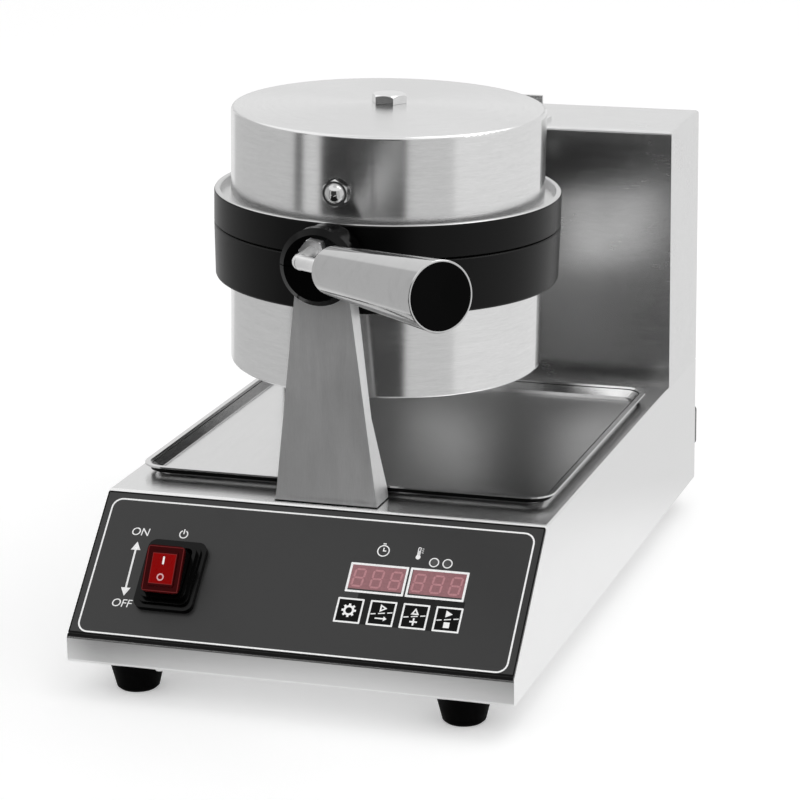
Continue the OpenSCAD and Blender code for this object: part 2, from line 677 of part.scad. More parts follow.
module control_board() color("#1f5a3a") on_panel() difference() {
    union() {
        translate([board_x, board_s, board_z]) plate(board[0], board[1], board_t, 2);
        translate([board_x - 36, board_s + 10, board_z - 9.95]) plate(14, 20, 10, 0.5);
        translate([board_x - 14, board_s - 18, board_z - 5.95]) plate(16, 16, 6, 0.5);
        translate([board_x + 30, board_s - 16, board_z - 11.95]) cylinder(r = 5, h = 12);
    }
    at_board_posts() translate([0, 0, board_z - 1]) cylinder(r = 1.6, h = 4);
    for (x = window_xs, i = [-2 : 2], side = [-1, 1])
        translate([x + i * 2.54, window_s + side * (window_h / 2 - 2), board_z - 1]) cylinder(r = 0.35, h = 4, $fn = 16);
}

module board_spacers() color("#c9b26a") on_panel() at_board_posts() {
    translate([0, 0, board_z + board_t + seat_gap]) hex(5.5, -board_z - board_t - sheet_t - 2 * seat_gap);
    translate([0, 0, board_z - 2]) cylinder(r = 1.5, h = 5);
    translate([0, 0, board_z - 2.5]) hex(5, 2.4);
}

floor_z = foot_h + sheet_t + base_plate_t + seat_gap;
mains_y = 190;
core = [40, 34, 34];
core_foot = [48, 40, 2];
coil = [26, 48, 24];
transformer_x = -60;
module block(size, z) translate([-size[0] / 2, -size[1] / 2, z]) cube(size);
module transformer() color("#6b4a2a") home() translate([transformer_x, mains_y, floor_z]) {
    block(core_foot, 0);
    block(core, core_foot[2] / 2);
    block(coil, core_foot[2] + (core[2] - coil[2]) / 2);
}

relay_foot = [45, 58, 5];
relay = [43, 50, 22];
relay_tab = [30, 8, 24];
relay_xs = [10, 62];
module power_relays() color("#e6e4dc") home() for (x = relay_xs) translate([x, mains_y, floor_z]) {
    plate(relay_foot[0], relay_foot[1], relay_foot[2], 2);
    plate(relay[0], relay[1], relay[2], 2);
    for (s = [-1, 1]) translate([0, s * (relay[1] - relay_tab[1]) / 2, relay_foot[2]])
        plate(relay_tab[0], relay_tab[1], relay_tab[2] - relay_foot[2], 1);
}

terminals = 7;
terminal_pitch = 10;
terminal_w = 24;
terminal_h = 20;
terminal_at = [60, 340];
terminal_screw_r = 3;
terminal_screw_h = 8;
terminal_port = 6;
module terminal_block() color("#d8d5c8") home() translate([terminal_at[0], terminal_at[1], floor_z]) difference() {
    plate(terminals * terminal_pitch + 2, terminal_w, terminal_h, 1.5);
    for (i = [0 : terminals - 1]) translate([(i - (terminals - 1) / 2) * terminal_pitch, 0, terminal_h - terminal_screw_h]) {
        cylinder(r = terminal_screw_r, h = terminal_screw_h + 1);
        for (s = [-1, 1]) translate([-terminal_port / 2, s > 0 ? terminal_w / 2 - terminal_port + 1 : -terminal_w / 2 - 1, -terminal_port / 2])
            cube([terminal_port, terminal_port, terminal_port - 1]);
    }
}

// ---------- drip tray ----------
module tray_bowl(w, d, r, flare, h) hull() {
    translate([0, 0, 0]) plate(w - 2 * flare, d - 2 * flare, 0.01, r - flare * 0.4);
    translate([0, 0, h - 0.01]) plate(w, d, 0.01, r);
}

tray_corner = 14;
tray_rim = 2;
module drip_tray() color("#bfc1c3") home() translate([0, tray_y + tray_d / 2, deck_z + 0.2]) difference() {
    union() {
        tray_bowl(tray_w - 2 * tray_rim, tray_d - 2 * tray_rim, tray_corner - tray_rim, tray_flare - tray_rim, tray_h);
        translate([0, 0, tray_h - tray_t]) plate(tray_w, tray_d, tray_t, tray_corner);
    }
    translate([0, 0, tray_t]) tray_bowl(tray_w - 2 * tray_rim - 2 * tray_t, tray_d - 2 * tray_rim - 2 * tray_t,
        tray_corner - tray_rim - tray_t, tray_flare - tray_rim, tray_h - tray_t + 0.01);
}

// ---------- moulds ----------
function floor_h(h) = h - channel_h;

module lugs(h) for (a = lug_angles) rotate([0, 0, a]) difference() {
    translate([cover_d / 2 - cover_t - 1 - lug_t, -7, floor_h(h) - 1]) cube([lug_t, 14, cap_rise + 8]);
    translate([bore_r - 5, 0, floor_h(h) + cap_rise]) rod_x(stud_r + screw_gap, 0, 20);
}

module mold_ring(h, draft) {
    rotate_extrude($fn = 160) polygon(concat(
        [[plate_d / 2 + seat_gap, half_gap], [ring_r - parting_edge, half_gap], [ring_r, half_gap + parting_edge]],
        [[ring_r - draft, h - 1.2], [ring_r - draft - 0.4, h - 0.4], [ring_r - draft - 1.2, h]],
        [[ring_r - draft - rim_w + 0.5, h], [ring_r - draft - rim_w, h - 0.5]],
        [[ring_r - draft - rim_w, floor_h(h)], [bore_r, floor_h(h)], [bore_r, back_z + seat_gap]],
        [[plate_d / 2 + seat_gap, back_z + seat_gap]]
    ));
    lugs(h);
}

// Grooves of the waffle grid, cut up into a plate's face from below
module grid() {
    n = floor(field_d / 2 / grid_pitch);
    for (turn = [45, -45], i = [-n : n]) rotate([0, 0, turn]) {
        reach = sqrt(max(1, pow(field_d / 2, 2) - pow(i * grid_pitch, 2)));
        translate([i * grid_pitch, 0, 0]) rotate([90, 0, 0]) translate([0, 0, -reach]) linear_extrude(2 * reach)
            polygon([
                [-groove_w / 2 - 0.1, face_z - 0.1], [groove_w / 2 + 0.1, face_z - 0.1],
                [groove_base_w / 2, face_z + groove_depth], [-groove_base_w / 2, face_z + groove_depth]
            ]);
    }
}

boss_r = 13;
boss_h = 9;
module baking_plate() difference() {
    rotate_extrude($fn = 160) polygon([
        [0, face_z], [field_d / 2 + 2, face_z], [field_d / 2 + 2 + face_z - half_gap, half_gap], [plate_d / 2, half_gap],
        [plate_d / 2, back_z], [boss_r, back_z], [boss_r, back_z + boss_h], [0, back_z + boss_h]
    ]);
    grid();
    translate([0, 0, back_z - 1]) cylinder(d = bolt_d + 2 * seat_gap, h = boss_h + 2);
    translate([0, -probe_y, back_z - 2]) cylinder(r = probe_r + seat_gap, h = 4);
}

module mold_cover(h, cover_h) difference() {
    rotate_extrude($fn = 160) difference() {
        can(cover_d / 2, floor_h(h) + seat_gap, cover_h, cover_r);
        can(cover_d / 2 - cover_t, floor_h(h) - 1, cover_h - cover_t, max(0.3, cover_r - cover_t));
    }
    for (a = lug_angles) rotate([0, 0, a]) translate([cover_d / 2 - 6, 0, floor_h(h) + cap_rise]) rod_x(stud_r + screw_gap, 0, 10);
    translate([0, 0, cover_h - 5]) cylinder(d = bolt_d + 2 * seat_gap, h = 10);
}

crown_steps = 10;
// Profile of a cover: its wall, rounded edge and crowned face
module can(r, z0, z1, edge) {
    translate([0, z0]) square([r - edge, z1 - z0]);
    translate([0, z0]) square([r, z1 - z0 - edge]);
    translate([r - edge, z1 - edge]) circle(r = edge);
    polygon([for (i = [0 : crown_steps]) [i / crown_steps * (r - edge), z1 + cover_crown * (1 - pow(i / crown_steps, 2))]]);
}

heater_ends = [110, 70];                // where the tube turns up and its terminals stand
heater_sweep = 360 + heater_ends[1] - heater_ends[0];
heater_end_t = 0.4;
heater_end_l = 3;
heater_pin_l = 13;
module heater() {
    r = heater_tube_d / 2;
    translate([0, 0, back_z + seat_gap + r]) rotate([0, 0, heater_ends[0]]) {
        rotate_extrude(angle = heater_sweep) translate([heater_d / 2, 0]) circle(r = r, $fn = 48);
        for (a = [0, heater_sweep]) rotate([0, 0, a]) translate([heater_d / 2, 0, 1.5 * heater_end_t - r]) {
            cylinder(r = r + heater_end_t, h = 2 * r + heater_end_l, $fn = 48);
            cylinder(r = r / 2, h = 2 * r + heater_pin_l, $fn = 48);
        }
    }
}

clamp_t = 3;
module clamp() translate([0, 0, back_z + 2 * seat_gap + heater_tube_d]) difference() {
    cylinder(d = heater_d + heater_tube_d, h = clamp_t);
    translate([0, 0, -1]) cylinder(r = boss_r + 1, h = clamp_t + 2);
    for (a = heater_ends) rotate([0, 0, a]) translate([heater_d / 2 - 9, -7, -1]) cube([20, 14, clamp_t + 2]);
    translate([0, -probe_y, -1]) cylinder(r = probe_r + 1, h = clamp_t + 2);
}

// Temperature probe: a stem seated in the plate with its hexagon
probe_y = 34;
probe_r = 3;
probe_l = 26;
module probe() translate([0, -probe_y, back_z - 2 + seat_gap]) {
    cylinder(r = probe_r, h = probe_l);
    translate([0, 0, 2]) hex(11, 5);
}

module insulation(h, cover_h) {
    z0 = back_z + heater_tube_d + clamp_t + 4 * seat_gap;
    translate([0, 0, z0]) difference() {
        cylinder(r = bore_r - 2, h = cover_h - cover_t - seat_gap - z0);
        translate([0, 0, -1]) cylinder(d = bolt_d + 1, h = cover_h);
        for (a = heater_ends) rotate([0, 0, a]) translate([heater_d / 2, 0, -1]) cylinder(r = heater_tube_d / 2 + 1, h = 16);
        translate([0, -probe_y, -1]) cylinder(r = probe_r + 1, h = 14);
    }
}

// Three cap nuts on their studs; along +X, seated on the cover's wall
module cap_nuts(h) for (a = lug_angles) rotate([0, 0, a]) translate([cover_d / 2 + seat_gap, 0, floor_h(h) + cap_rise]) rotate([0, 90, 0]) {
    difference() {
        union() {
            cylinder(d = cap_af * 1.14, h = cap_washer_t);
            intersection() {
                hex(cap_af, cap_h);
                translate([0, 0, -cap_af * 0.42]) sphere(r = cap_af * 0.93);
            }
            translate([0, 0, cap_l - dome_r]) intersection() {
                sphere(r = dome_r);
                translate([0, 0, dome_r + cap_washer_t - cap_l]) cylinder(r = 2 * dome_r, h = 4 * dome_r);
            }
        }
        translate([0, 0, -1]) cylinder(r = stud_r + screw_gap, h = cap_h + 1);
    }
    translate([0, 0, -cover_t - lug_t - 1]) cylinder(r = stud_r, h = cover_t + lug_t + 0.9 + cap_h);
}

module centre_bolt(cover_h) {
    translate([0, 0, cover_h + cover_crown + seat_gap]) intersection() {
        hex(bolt_af, bolt_head_h);
        translate([0, 0, bolt_head_h - bolt_af * 0.84]) sphere(r = bolt_af * 0.972);
    }
    translate([0, 0, back_z + 2]) cylinder(d = bolt_d, h = cover_h + cover_crown - back_z - 1.5);
}

// One half of the split trunnion: the flanges either side of the post, and the boss on the ring
hub_face = post_y - 0.4 - hub_t;
neck_y0 = post_y - 0.4;
neck_y1 = post_y + post_t + 0.4;
hub_rear_y = 87;
hub_boss_r = 15;
module trunnion_half() intersection() {
    difference() {
        translate([0, -mold_y, 0]) turned_y() polygon([
            [0, hub_face], [hub_d / 2 - hub_bevel, hub_face], [hub_d / 2, hub_face + hub_bevel], [hub_d / 2, neck_y0],
            [neck_d / 2, neck_y0], [neck_d / 2, neck_y1], [hub_rear_d / 2 - 1, neck_y1], [hub_rear_d / 2, neck_y1 + 1],
            [hub_rear_d / 2, hub_rear_y - 1], [hub_rear_d / 2 - 1, hub_rear_y], [hub_boss_r, hub_rear_y],
            [hub_boss_r, mold_y - ring_r + 6], [0, mold_y - ring_r + 6]
        ]);
        cylinder(r = ring_r + seat_gap, h = 100, center = true, $fn = 160);
    }
    translate([-60, -mold_y, half_gap]) cube([120, mold_y, 60]);
}

module lower_ring() color("#1d1e1f") {
    lower() mold_ring(lower_ring_h, lower_draft);
    at_axis() yoke();
}
module lower_plate() color("#2a2a2b") lower() baking_plate();
module lower_cover() color("#d4d6d8") lower() mold_cover(lower_ring_h, lower_cover_h);
module lower_heater() color("#5a5048") lower() heater();
module lower_clamp() color("#a9acae") lower() clamp();
module lower_probe() color("#c9b26a") lower() probe();
module lower_insulation() color("#e8e2d2") lower() insulation(lower_ring_h, lower_cover_h);
module lower_cap_nuts() color("#dfe1e3") lower() cap_nuts(lower_ring_h);
module lower_bolt() color("#c9cbcd") lower() centre_bolt(lower_cover_h);
module lower_trunnion() color("#141414") lower() trunnion_half();

module upper_plate() color("#2a2a2b") upper() baking_plate();
module upper_cover() color("#d4d6d8") upper() mold_cover(upper_ring_h, upper_cover_h);
module upper_heater() color("#5a5048") upper() heater();
module upper_clamp() color("#a9acae") upper() clamp();
module upper_probe() color("#c9b26a") upper() probe();
module upper_insulation() color("#e8e2d2") upper() insulation(upper_ring_h, upper_cover_h);
module upper_cap_nuts() color("#dfe1e3") upper() cap_nuts(upper_ring_h);
module upper_bolt() color("#c9cbcd") upper() centre_bolt(upper_cover_h);
module upper_trunnion() color("#141414") upper() difference() {
    trunnion_half();
    translate([0, 0, handle_h]) rod_y(rod_d / 2 + seat_gap, hub_face - mold_y - 1, neck_y0 - 1.9 - mold_y);
}

// ---------- hinge ----------
// The upper ring carries two ears that reach back to the hinge pin
ear_x = knuckle_x + air_gap;
module ears() for (side = [-1, 1]) difference() {
    intersection() {
        union() {
            translate([side > 0 ? ear_x : -ear_x - ear_w, ring_r - 12, half_gap]) cube([ear_w, hinge_y - ring_r + 12, knuckle_r - half_gap]);
            translate([0, hinge_y, 0]) rod_x(knuckle_r, side > 0 ? ear_x : -ear_x - ear_w, side > 0 ? ear_x + ear_w : -ear_x);
        }
        difference() {
            translate([-100, 0, -50]) cube([200, 200, 100]);
            cylinder(r = ring_r - 1, h = 100, center = true, $fn = 160);
        }
    }
    translate([0, hinge_y, 0]) rod_x(pin_d / 2 + running_gap, -100, 100);
}

module upper_ring() color("#1d1e1f") upper() {
    mold_ring(upper_ring_h, 0);
    ears();
}

yoke_y = hinge_y + knuckle_r + 4;
yoke_t = 12;
shaft_seat = 8;
yoke_low = -26;
yoke_top = shaft_d / 2 + 2.5;
web_t = 12;
// Cast on the lower ring: two knuckles, a web and the seat of the shaft
module yoke() difference() {
    union() {
        intersection() {
            union() {
                translate([-knuckle_x, ring_r - 12, yoke_low]) cube([2 * knuckle_x, yoke_y + yoke_t - ring_r + 12, web_t]);
                for (side = [-1, 1]) translate([side > 0 ? knuckle_x - ear_w : -knuckle_x, ring_r - 12, yoke_low])
                    cube([ear_w, hinge_y + knuckle_r - ring_r + 12, -yoke_low - half_gap]);
            }
            difference() {
                translate([-100, 0, -50]) cube([200, 200, 50 - half_gap]);
                cylinder(r = ring_r - lower_draft - 1, h = 120, center = true, $fn = 160);
            }
        }
        translate([0, hinge_y, 0]) for (side = [-1, 1])
            rod_x(knuckle_r, side > 0 ? knuckle_x - ear_w : -knuckle_x, side > 0 ? knuckle_x : -knuckle_x + ear_w);
        translate([-knuckle_x, yoke_y, yoke_low]) cube([2 * knuckle_x, yoke_t, yoke_top - yoke_low]);
    }
    translate([0, hinge_y, 0]) rod_x(pin_d / 2 + seat_gap, -100, 100);
    rod_y(wire_way_d / 2, yoke_y - 1, yoke_y + yoke_t + 1);
    rod_y(shaft_d / 2 + seat_gap, yoke_y + yoke_t - shaft_seat, yoke_y + yoke_t + 1);
}

shaft_over = 3;                      // what the shaft stands out of its collar
shaft_end = stop_y + collar_l + shaft_over - mold_y;
module rear_shaft() color("#b4b7b9") at_axis() difference() {
    rod_y(shaft_d / 2, yoke_y + yoke_t - shaft_seat + seat_gap, shaft_end);
    rod_y(wire_way_d / 2, yoke_y, shaft_end + 1);
}

// Collar that keeps the shaft in its bearing, with the arm that meets the stops
module shaft_collar() color("#8a8d90") at_axis() translate([0, stop_y + air_gap - mold_y, 0]) difference() {
    union() {
        rod_y(collar_r, 0, collar_l - 2 * air_gap);
        translate([0, 0, -arm_t / 2]) cube([arm_l, collar_l - 2 * air_gap, arm_t]);
    }
    rod_y(shaft_d / 2 + seat_gap, -1, collar_l);
}

pin_over = 2;
module hinge_pin() color("#c9cbcd") at_axis() translate([0, hinge_y, 0]) {
    rod_x(pin_d / 2, -ear_x - ear_w - pin_over, ear_x + ear_w + pin_over);
    for (side = [-1, 1]) rod_x(pin_d / 2 + 2, side > 0 ? ear_x + ear_w + air_gap : -ear_x - ear_w - pin_over - air_gap,
        side > 0 ? ear_x + ear_w + pin_over + air_gap : -ear_x - ear_w - air_gap);
}

// ---------- handle ----------
nut_t = 6.5;
nut_af = 13.6;
rod_bend_r = 6;
bend_a = 90 - grip_angle;
bend_reach = rod_bend_r * tan(bend_a / 2);
grip_wall = 1.2;
grip_nose = 8;
cap_t = 6;
cap_dish = 0.8;

module to_grip() translate([0, handle_y - mold_y, 0]) rotate([0, 0, -grip_angle]) rotate([0, 90, 0]) children();

rod_step = 0.2;
rod_lap = 2;
// Bent rod with its lock nut; both straight stretches are turned down by rod_step
module handle_rod() color("#e9eaeb") at_handle() {
    rod_y(rod_d / 2 - rod_step, handle_y + bend_reach - rod_lap - mold_y, neck_y0 - 2 - mold_y);
    translate([rod_bend_r, handle_y + bend_reach - mold_y, 0]) rotate([0, 0, 180])
        rotate_extrude(angle = bend_a) translate([rod_bend_r, 0]) circle(d = rod_d);
    to_grip() translate([0, 0, bend_reach - rod_lap])
        cylinder(r = rod_d / 2 - rod_step, h = handle_reach - bend_reach + rod_lap - cap_t - seat_gap);
    translate([0, hub_face - nut_t - seat_gap - mold_y, 0]) rotate([-90, 0, 0]) intersection() {
        rotate([0, 0, 15]) hex(nut_af, nut_t);
        translate([0, 0, nut_t * 0.95]) sphere(r = nut_af * 0.72);
    }
}

// Radius inside the hollow grip at a distance along it
function grip_bore(l) = grip_d / 2 - grip_wall
    + (l - grip_start - grip_nose) * (grip_end_d - grip_d) / 2 / (handle_reach - grip_start - grip_nose);

module handle_grip() color("#dcdee0") at_handle() to_grip() rotate_extrude() polygon(rounded([
    [rod_d / 2 + seat_gap, grip_start], [grip_d / 2, grip_start], [grip_end_d / 2, handle_reach],
    [grip_bore(handle_reach), handle_reach], [grip_bore(grip_start + grip_nose), grip_start + grip_nose],
    [rod_d / 2 + seat_gap, grip_start + grip_nose]
], [0, 2, 0.6, 0.3, 0, 0]));

module grip_cap() color("#0d0d0d") at_handle() to_grip() rotate_extrude() polygon([
    [0, handle_reach - cap_t], [grip_bore(handle_reach - cap_t) - seat_gap, handle_reach - cap_t],
    [grip_bore(handle_reach) - seat_gap, handle_reach], [grip_bore(handle_reach) - 1.2, handle_reach],
    [0, handle_reach - cap_dish]
]);

base_housing();
base_plate();
rubber_feet();
foot_screws();
cover_screws();
front_post();
column_cover();
column_back();
lid_rest();
bracket_screws();
bearing_housing();
flip_stop();
cable_entry_plate();
cable_gland();
gland_nut();
panel_overlay();
display_windows();
display_modules();
indicator_lamps();
switch_housing();
switch_terminals();
rocker();
rocker_lens();
key_set();
key_right();
key_up();
key_start();
key_switches();
control_board();
board_spacers();
transformer();
power_relays();
terminal_block();
drip_tray();
lower_ring();
lower_plate();
lower_cover();
lower_heater();
lower_clamp();
lower_probe();
lower_insulation();
lower_cap_nuts();
lower_bolt();
lower_trunnion();
rear_shaft();
shaft_collar();
hinge_pin();
upper_ring();
upper_plate();
upper_cover();
upper_heater();
upper_clamp();
upper_probe();
upper_insulation();
upper_cap_nuts();
upper_bolt();
upper_trunnion();
handle_rod();
handle_grip();
grip_cap();
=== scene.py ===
import json
import math

import bmesh
import bpy
from mathutils import Matrix, Vector


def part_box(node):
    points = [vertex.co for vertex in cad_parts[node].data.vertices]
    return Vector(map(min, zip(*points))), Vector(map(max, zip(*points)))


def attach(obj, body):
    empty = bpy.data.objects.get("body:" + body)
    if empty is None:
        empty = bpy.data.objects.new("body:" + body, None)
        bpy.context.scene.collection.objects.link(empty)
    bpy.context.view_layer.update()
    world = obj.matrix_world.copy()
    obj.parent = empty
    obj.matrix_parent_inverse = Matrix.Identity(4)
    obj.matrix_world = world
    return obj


mm = 0.001

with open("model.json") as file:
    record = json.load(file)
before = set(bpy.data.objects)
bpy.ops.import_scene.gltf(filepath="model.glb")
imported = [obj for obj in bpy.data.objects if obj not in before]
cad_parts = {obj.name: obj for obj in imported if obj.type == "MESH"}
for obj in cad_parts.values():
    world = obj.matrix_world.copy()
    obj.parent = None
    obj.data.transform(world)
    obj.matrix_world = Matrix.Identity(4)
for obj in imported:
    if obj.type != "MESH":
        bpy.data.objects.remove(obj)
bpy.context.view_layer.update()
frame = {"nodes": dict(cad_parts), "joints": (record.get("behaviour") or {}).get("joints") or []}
nodes = frame["nodes"]
scene = bpy.context.scene
scene.view_settings.view_transform = "Standard"

baseLow, baseHigh = (Vector(corner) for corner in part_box("base_housing"))
print("frame loaded:", len(nodes), "nodes")


# camera, placed from the lip of the base
camera = {
    "place": (0.5639, -1.5224, 0.6341),
    "forward": (-0.29817, 0.91550, -0.27010),
    "right": (0.95084, 0.30968, 0.0),
    "roll": -0.79,
    "lens": 141.8,
    "sensor": 36.0,
    "clip": (0.05, 50),
}


def makeCamera():
    data = bpy.data.cameras.new("mainCamera")
    data.lens, data.sensor_width = camera["lens"], camera["sensor"]
    data.clip_start, data.clip_end = camera["clip"]
    eye = bpy.data.objects.new("mainCamera", data)
    scene.collection.objects.link(eye)
    forward, side = Vector(camera["forward"]).normalized(), Vector(camera["right"]).normalized()
    above = side.cross(forward)
    roll = math.radians(camera["roll"])
    turn, lift = math.cos(roll), math.sin(roll)
    axes = (side * turn + above * lift, above * turn - side * lift, -forward)
    place = Vector(camera["place"]) + Vector((0, baseLow.y, 0))
    eye.matrix_world = Matrix.Translation(place) @ Matrix(axes).transposed().to_4x4()
    scene.camera = eye


# nodes and shared effects; marks are hand marks, by their size and how much they cover
effects = {
    "bump": 0.0002,
    "fineLines": 0.7,
    "wideLines": 0.3,
    "wideScale": 0.22,
    "marksStart": 0.85,
    "marksFade": 0.4,
    "toneStops": (0.3, 0.7),
    "streakRange": (0.2, 0.8),
    "streakRough": (0.85, 1.15),
    "sheetMarks": {"Size": 22.0, "Cover": 0.45},
    "polishMarks": {"Size": 60.0, "Cover": 0.45},
    "skinMarks": {"Size": 30.0, "Cover": 0.4},
    "ringMarks": {"Size": 26.0, "Cover": 0.4},
}


def addNode(tree, kind, **settings):
    node = tree.nodes.new(kind)
    for key, value in settings.items():
        if key in node.inputs and not hasattr(node, key):
            node.inputs[key].default_value = value
        else:
            setattr(node, key, value)
    return node


def feed(tree, socket, value):
    if hasattr(value, "links"):
        tree.links.new(value, socket)
    elif value is not None:
        socket.default_value = value


def mathNode(tree, operation, first, second=None, third=None, clamp=False):
    node = addNode(tree, "ShaderNodeMath", operation=operation, use_clamp=clamp)
    for socket, value in zip(node.inputs, (first, second, third)):
        feed(tree, socket, value)
    return node.outputs[0]


def blendRange(tree, value, fromLow, fromHigh, toLow=0.0, toHigh=1.0, smooth=True):
    node = addNode(tree, "ShaderNodeMapRange", interpolation_type="SMOOTHSTEP" if smooth else "LINEAR")
    labels = ("Value", "From Min", "From Max", "To Min", "To Max")
    for label, amount in zip(labels, (value, fromLow, fromHigh, toLow, toHigh)):
        feed(tree, node.inputs[label], amount)
    return node.outputs["Result"]


def parts(tree, vector):
    node = addNode(tree, "ShaderNodeSeparateXYZ")
    feed(tree, node.inputs[0], vector)
    return node.outputs


def vectorOf(tree, x, y, z):
    node = addNode(tree, "ShaderNodeCombineXYZ")
    for socket, value in zip(node.inputs, (x, y, z)):
        feed(tree, socket, value)
    return node.outputs[0]


def mixColour(tree, share, first, second):
    node = addNode(tree, "ShaderNodeMix", data_type="RGBA")
    for socket, value in zip((node.inputs["Factor"], node.inputs[6], node.inputs[7]), (share, first, second)):
        feed(tree, socket, value)
    return node.outputs[2]


def ramp(tree, value, stops):
    node = addNode(tree, "ShaderNodeValToRGB")
    tree.links.new(value, node.inputs["Fac"])
    node.color_ramp.interpolation = "LINEAR"
    elements = node.color_ramp.elements
    while len(elements) < len(stops):
        elements.new(0.5)
    for element, (spot, tone) in zip(elements, stops):
        element.position = spot
        element.color = (*grey(tone), 1) if isinstance(tone, (int, float)) else (*tone, 1)
    return node.outputs["Color"]


def grey(value):
    return (value, value, value)


def tones(tone, spread):
    base = grey(tone) if isinstance(tone, (int, float)) else tone
    return tuple(c * (1 - spread) for c in base), tuple(min(1, c * (1 + spread)) for c in base)


def toned(tree, value, tone, spread):
    # a tone made a little darker and lighter by a value that changes over the surface
    return ramp(tree, value, tuple(zip(effects["toneStops"], tones(tone, spread))))


def newGroup(name, inputs, outputs):
    tree = bpy.data.node_groups.new(name, "ShaderNodeTree")
    for label, kind, value in inputs:
        socket = tree.interface.new_socket(label, in_out="INPUT", socket_type="NodeSocket" + kind)
        if value is not None:
            socket.default_value = value
    for label, kind in outputs:
        tree.interface.new_socket(label, in_out="OUTPUT", socket_type="NodeSocket" + kind)
    return tree, tree.nodes.new("NodeGroupInput").outputs, tree.nodes.new("NodeGroupOutput").inputs


def noise(tree, vector, scale, detail=3.0, rough=0.6, distortion=0.0):
    node = addNode(tree, "ShaderNodeTexNoise", Scale=1.0, Detail=detail, Roughness=rough, Distortion=distortion)
    tree.links.new(vector, node.inputs["Vector"])
    feed(tree, node.inputs["Scale"], scale)
    return node.outputs["Fac"]


def bumped(tree, height, strength):
    node = addNode(tree, "ShaderNodeBump", Distance=effects["bump"])
    tree.links.new(height, node.inputs["Height"])
    feed(tree, node.inputs["Strength"], strength)
    return node.outputs["Normal"]


def brushGroup():
    # brush lines: noise stretched along the direction in which Stretch is small
    tree, source, sink = newGroup(
        "brushedLines",
        (("Vector", "Vector", None), ("Stretch", "Vector", (1, 1, 1)), ("Depth", "Float", 0.1)),
        (("Streak", "Float"), ("Normal", "Vector")),
    )
    scaled = addNode(tree, "ShaderNodeVectorMath", operation="MULTIPLY")
    tree.links.new(source["Vector"], scaled.inputs[0])
    tree.links.new(source["Stretch"], scaled.inputs[1])
    fine = noise(tree, scaled.outputs[0], 1.0, 6.0, 0.75)
    wide = noise(tree, scaled.outputs[0], effects["wideScale"], 2.0)
    wide = mathNode(tree, "MULTIPLY", wide, effects["wideLines"])
    both = mathNode(tree, "MULTIPLY_ADD", fine, effects["fineLines"], wide)
    tree.links.new(both, sink["Streak"])
    tree.links.new(bumped(tree, both, source["Depth"]), sink["Normal"])
    return tree


def smudgeGroup():
    # faint hand marks and dust: slow noise with a soft edge, 0 to 1
    tree, source, sink = newGroup(
        "handledSurface",
        (("Vector", "Vector", None), ("Size", "Float", 40.0), ("Cover", "Float", 0.5)),
        (("Mask", "Float"),),
    )
    blots = noise(tree, source["Vector"], source["Size"], 5.0, 0.62, 0.6)
    low = mathNode(tree, "SUBTRACT", effects["marksStart"], source["Cover"])
    high = mathNode(tree, "ADD", low, effects["marksFade"])
    tree.links.new(blendRange(tree, blots, low, high), sink["Mask"])
    return tree


def grainGroup():
    # moulded or sprayed skin: fine round grain as tone and normal
    tree, source, sink = newGroup(
        "fineGrain",
        (("Vector", "Vector", None), ("Size", "Float", 1500.0), ("Depth", "Float", 0.2)),
        (("Tone", "Float"), ("Normal", "Vector")),
    )
    grain = noise(tree, source["Vector"], source["Size"])
    tree.links.new(grain, sink["Tone"])
    tree.links.new(bumped(tree, grain, source["Depth"]), sink["Normal"])
    return tree


def reachOf(tree, x, y):
    # distance from the middle
    squares = mathNode(tree, "MULTIPLY", x, x), mathNode(tree, "MULTIPLY", y, y)
    return mathNode(tree, "SQRT", mathNode(tree, "ADD", *squares))


def bearingOf(tree, x, y):
    # angle from the front towards the right
    return mathNode(tree, "ARCTAN2", x, mathNode(tree, "MULTIPLY", y, -1.0))


def roundGroup():
    # place on a turned part: length round its axis, distance from the axis, height along it
    tree, source, sink = newGroup(
        "turnedPlace",
        (("Vector", "Vector", None), ("Axis Place", "Vector", (0, 0, 0)), ("Tilt", "Vector", (0, 0, 0)),
         ("Radius", "Float", 0.09)),
        (("Vector", "Vector"), ("Across", "Float"), ("Height", "Float")),
    )
    local = addNode(tree, "ShaderNodeMapping", vector_type="TEXTURE")
    tree.links.new(source["Vector"], local.inputs["Vector"])
    tree.links.new(source["Axis Place"], local.inputs["Location"])
    tree.links.new(source["Tilt"], local.inputs["Rotation"])
    x, y, z = parts(tree, local.outputs["Vector"])
    across = reachOf(tree, x, y)
    arc = mathNode(tree, "MULTIPLY", bearingOf(tree, x, y), source["Radius"])
    tree.links.new(vectorOf(tree, arc, across, z), sink["Vector"])
    tree.links.new(across, sink["Across"])
    tree.links.new(z, sink["Height"])
    return tree


room = {
    # cards and walls that shiny surfaces see: where each ends, in degrees from the front towards
    # the right, and its tone
    "cards": ((-130, 0.85), (-52, 0.6), (-45, 0.15), (-31, 0.7), (30, 0.05), (65, 0.65), (180, 0.85)),
    "edge": 3,
    "ceiling": 1.15,
    "overhead": 0.78,
    "overheadStart": (0.90, 0.98),
    "wallTop": (0.48, 0.66),
    "table": (0.20, 0.35),
    "sky": 0.72,
}


def roomGroup():
    # tone of the room at a bearing: one card after the other, with a soft edge between
    tree, source, sink = newGroup("roomTone", (("Vector", "Vector", None),), (("Tone", "Float"),))
    x, y, _ = parts(tree, source["Vector"])
    turn = mathNode(tree, "MULTIPLY_ADD", bearingOf(tree, x, y), 0.5 / math.pi, 0.5)
    stops, start, fade = [], -180, room["edge"] / 2
    for end, tone in room["cards"]:
        stops += [(bearing / 360 + 0.5, tone) for bearing in (start + fade, end - fade)]
        start = end
    tree.links.new(ramp(tree, turn, stops), sink["Tone"])
    return tree


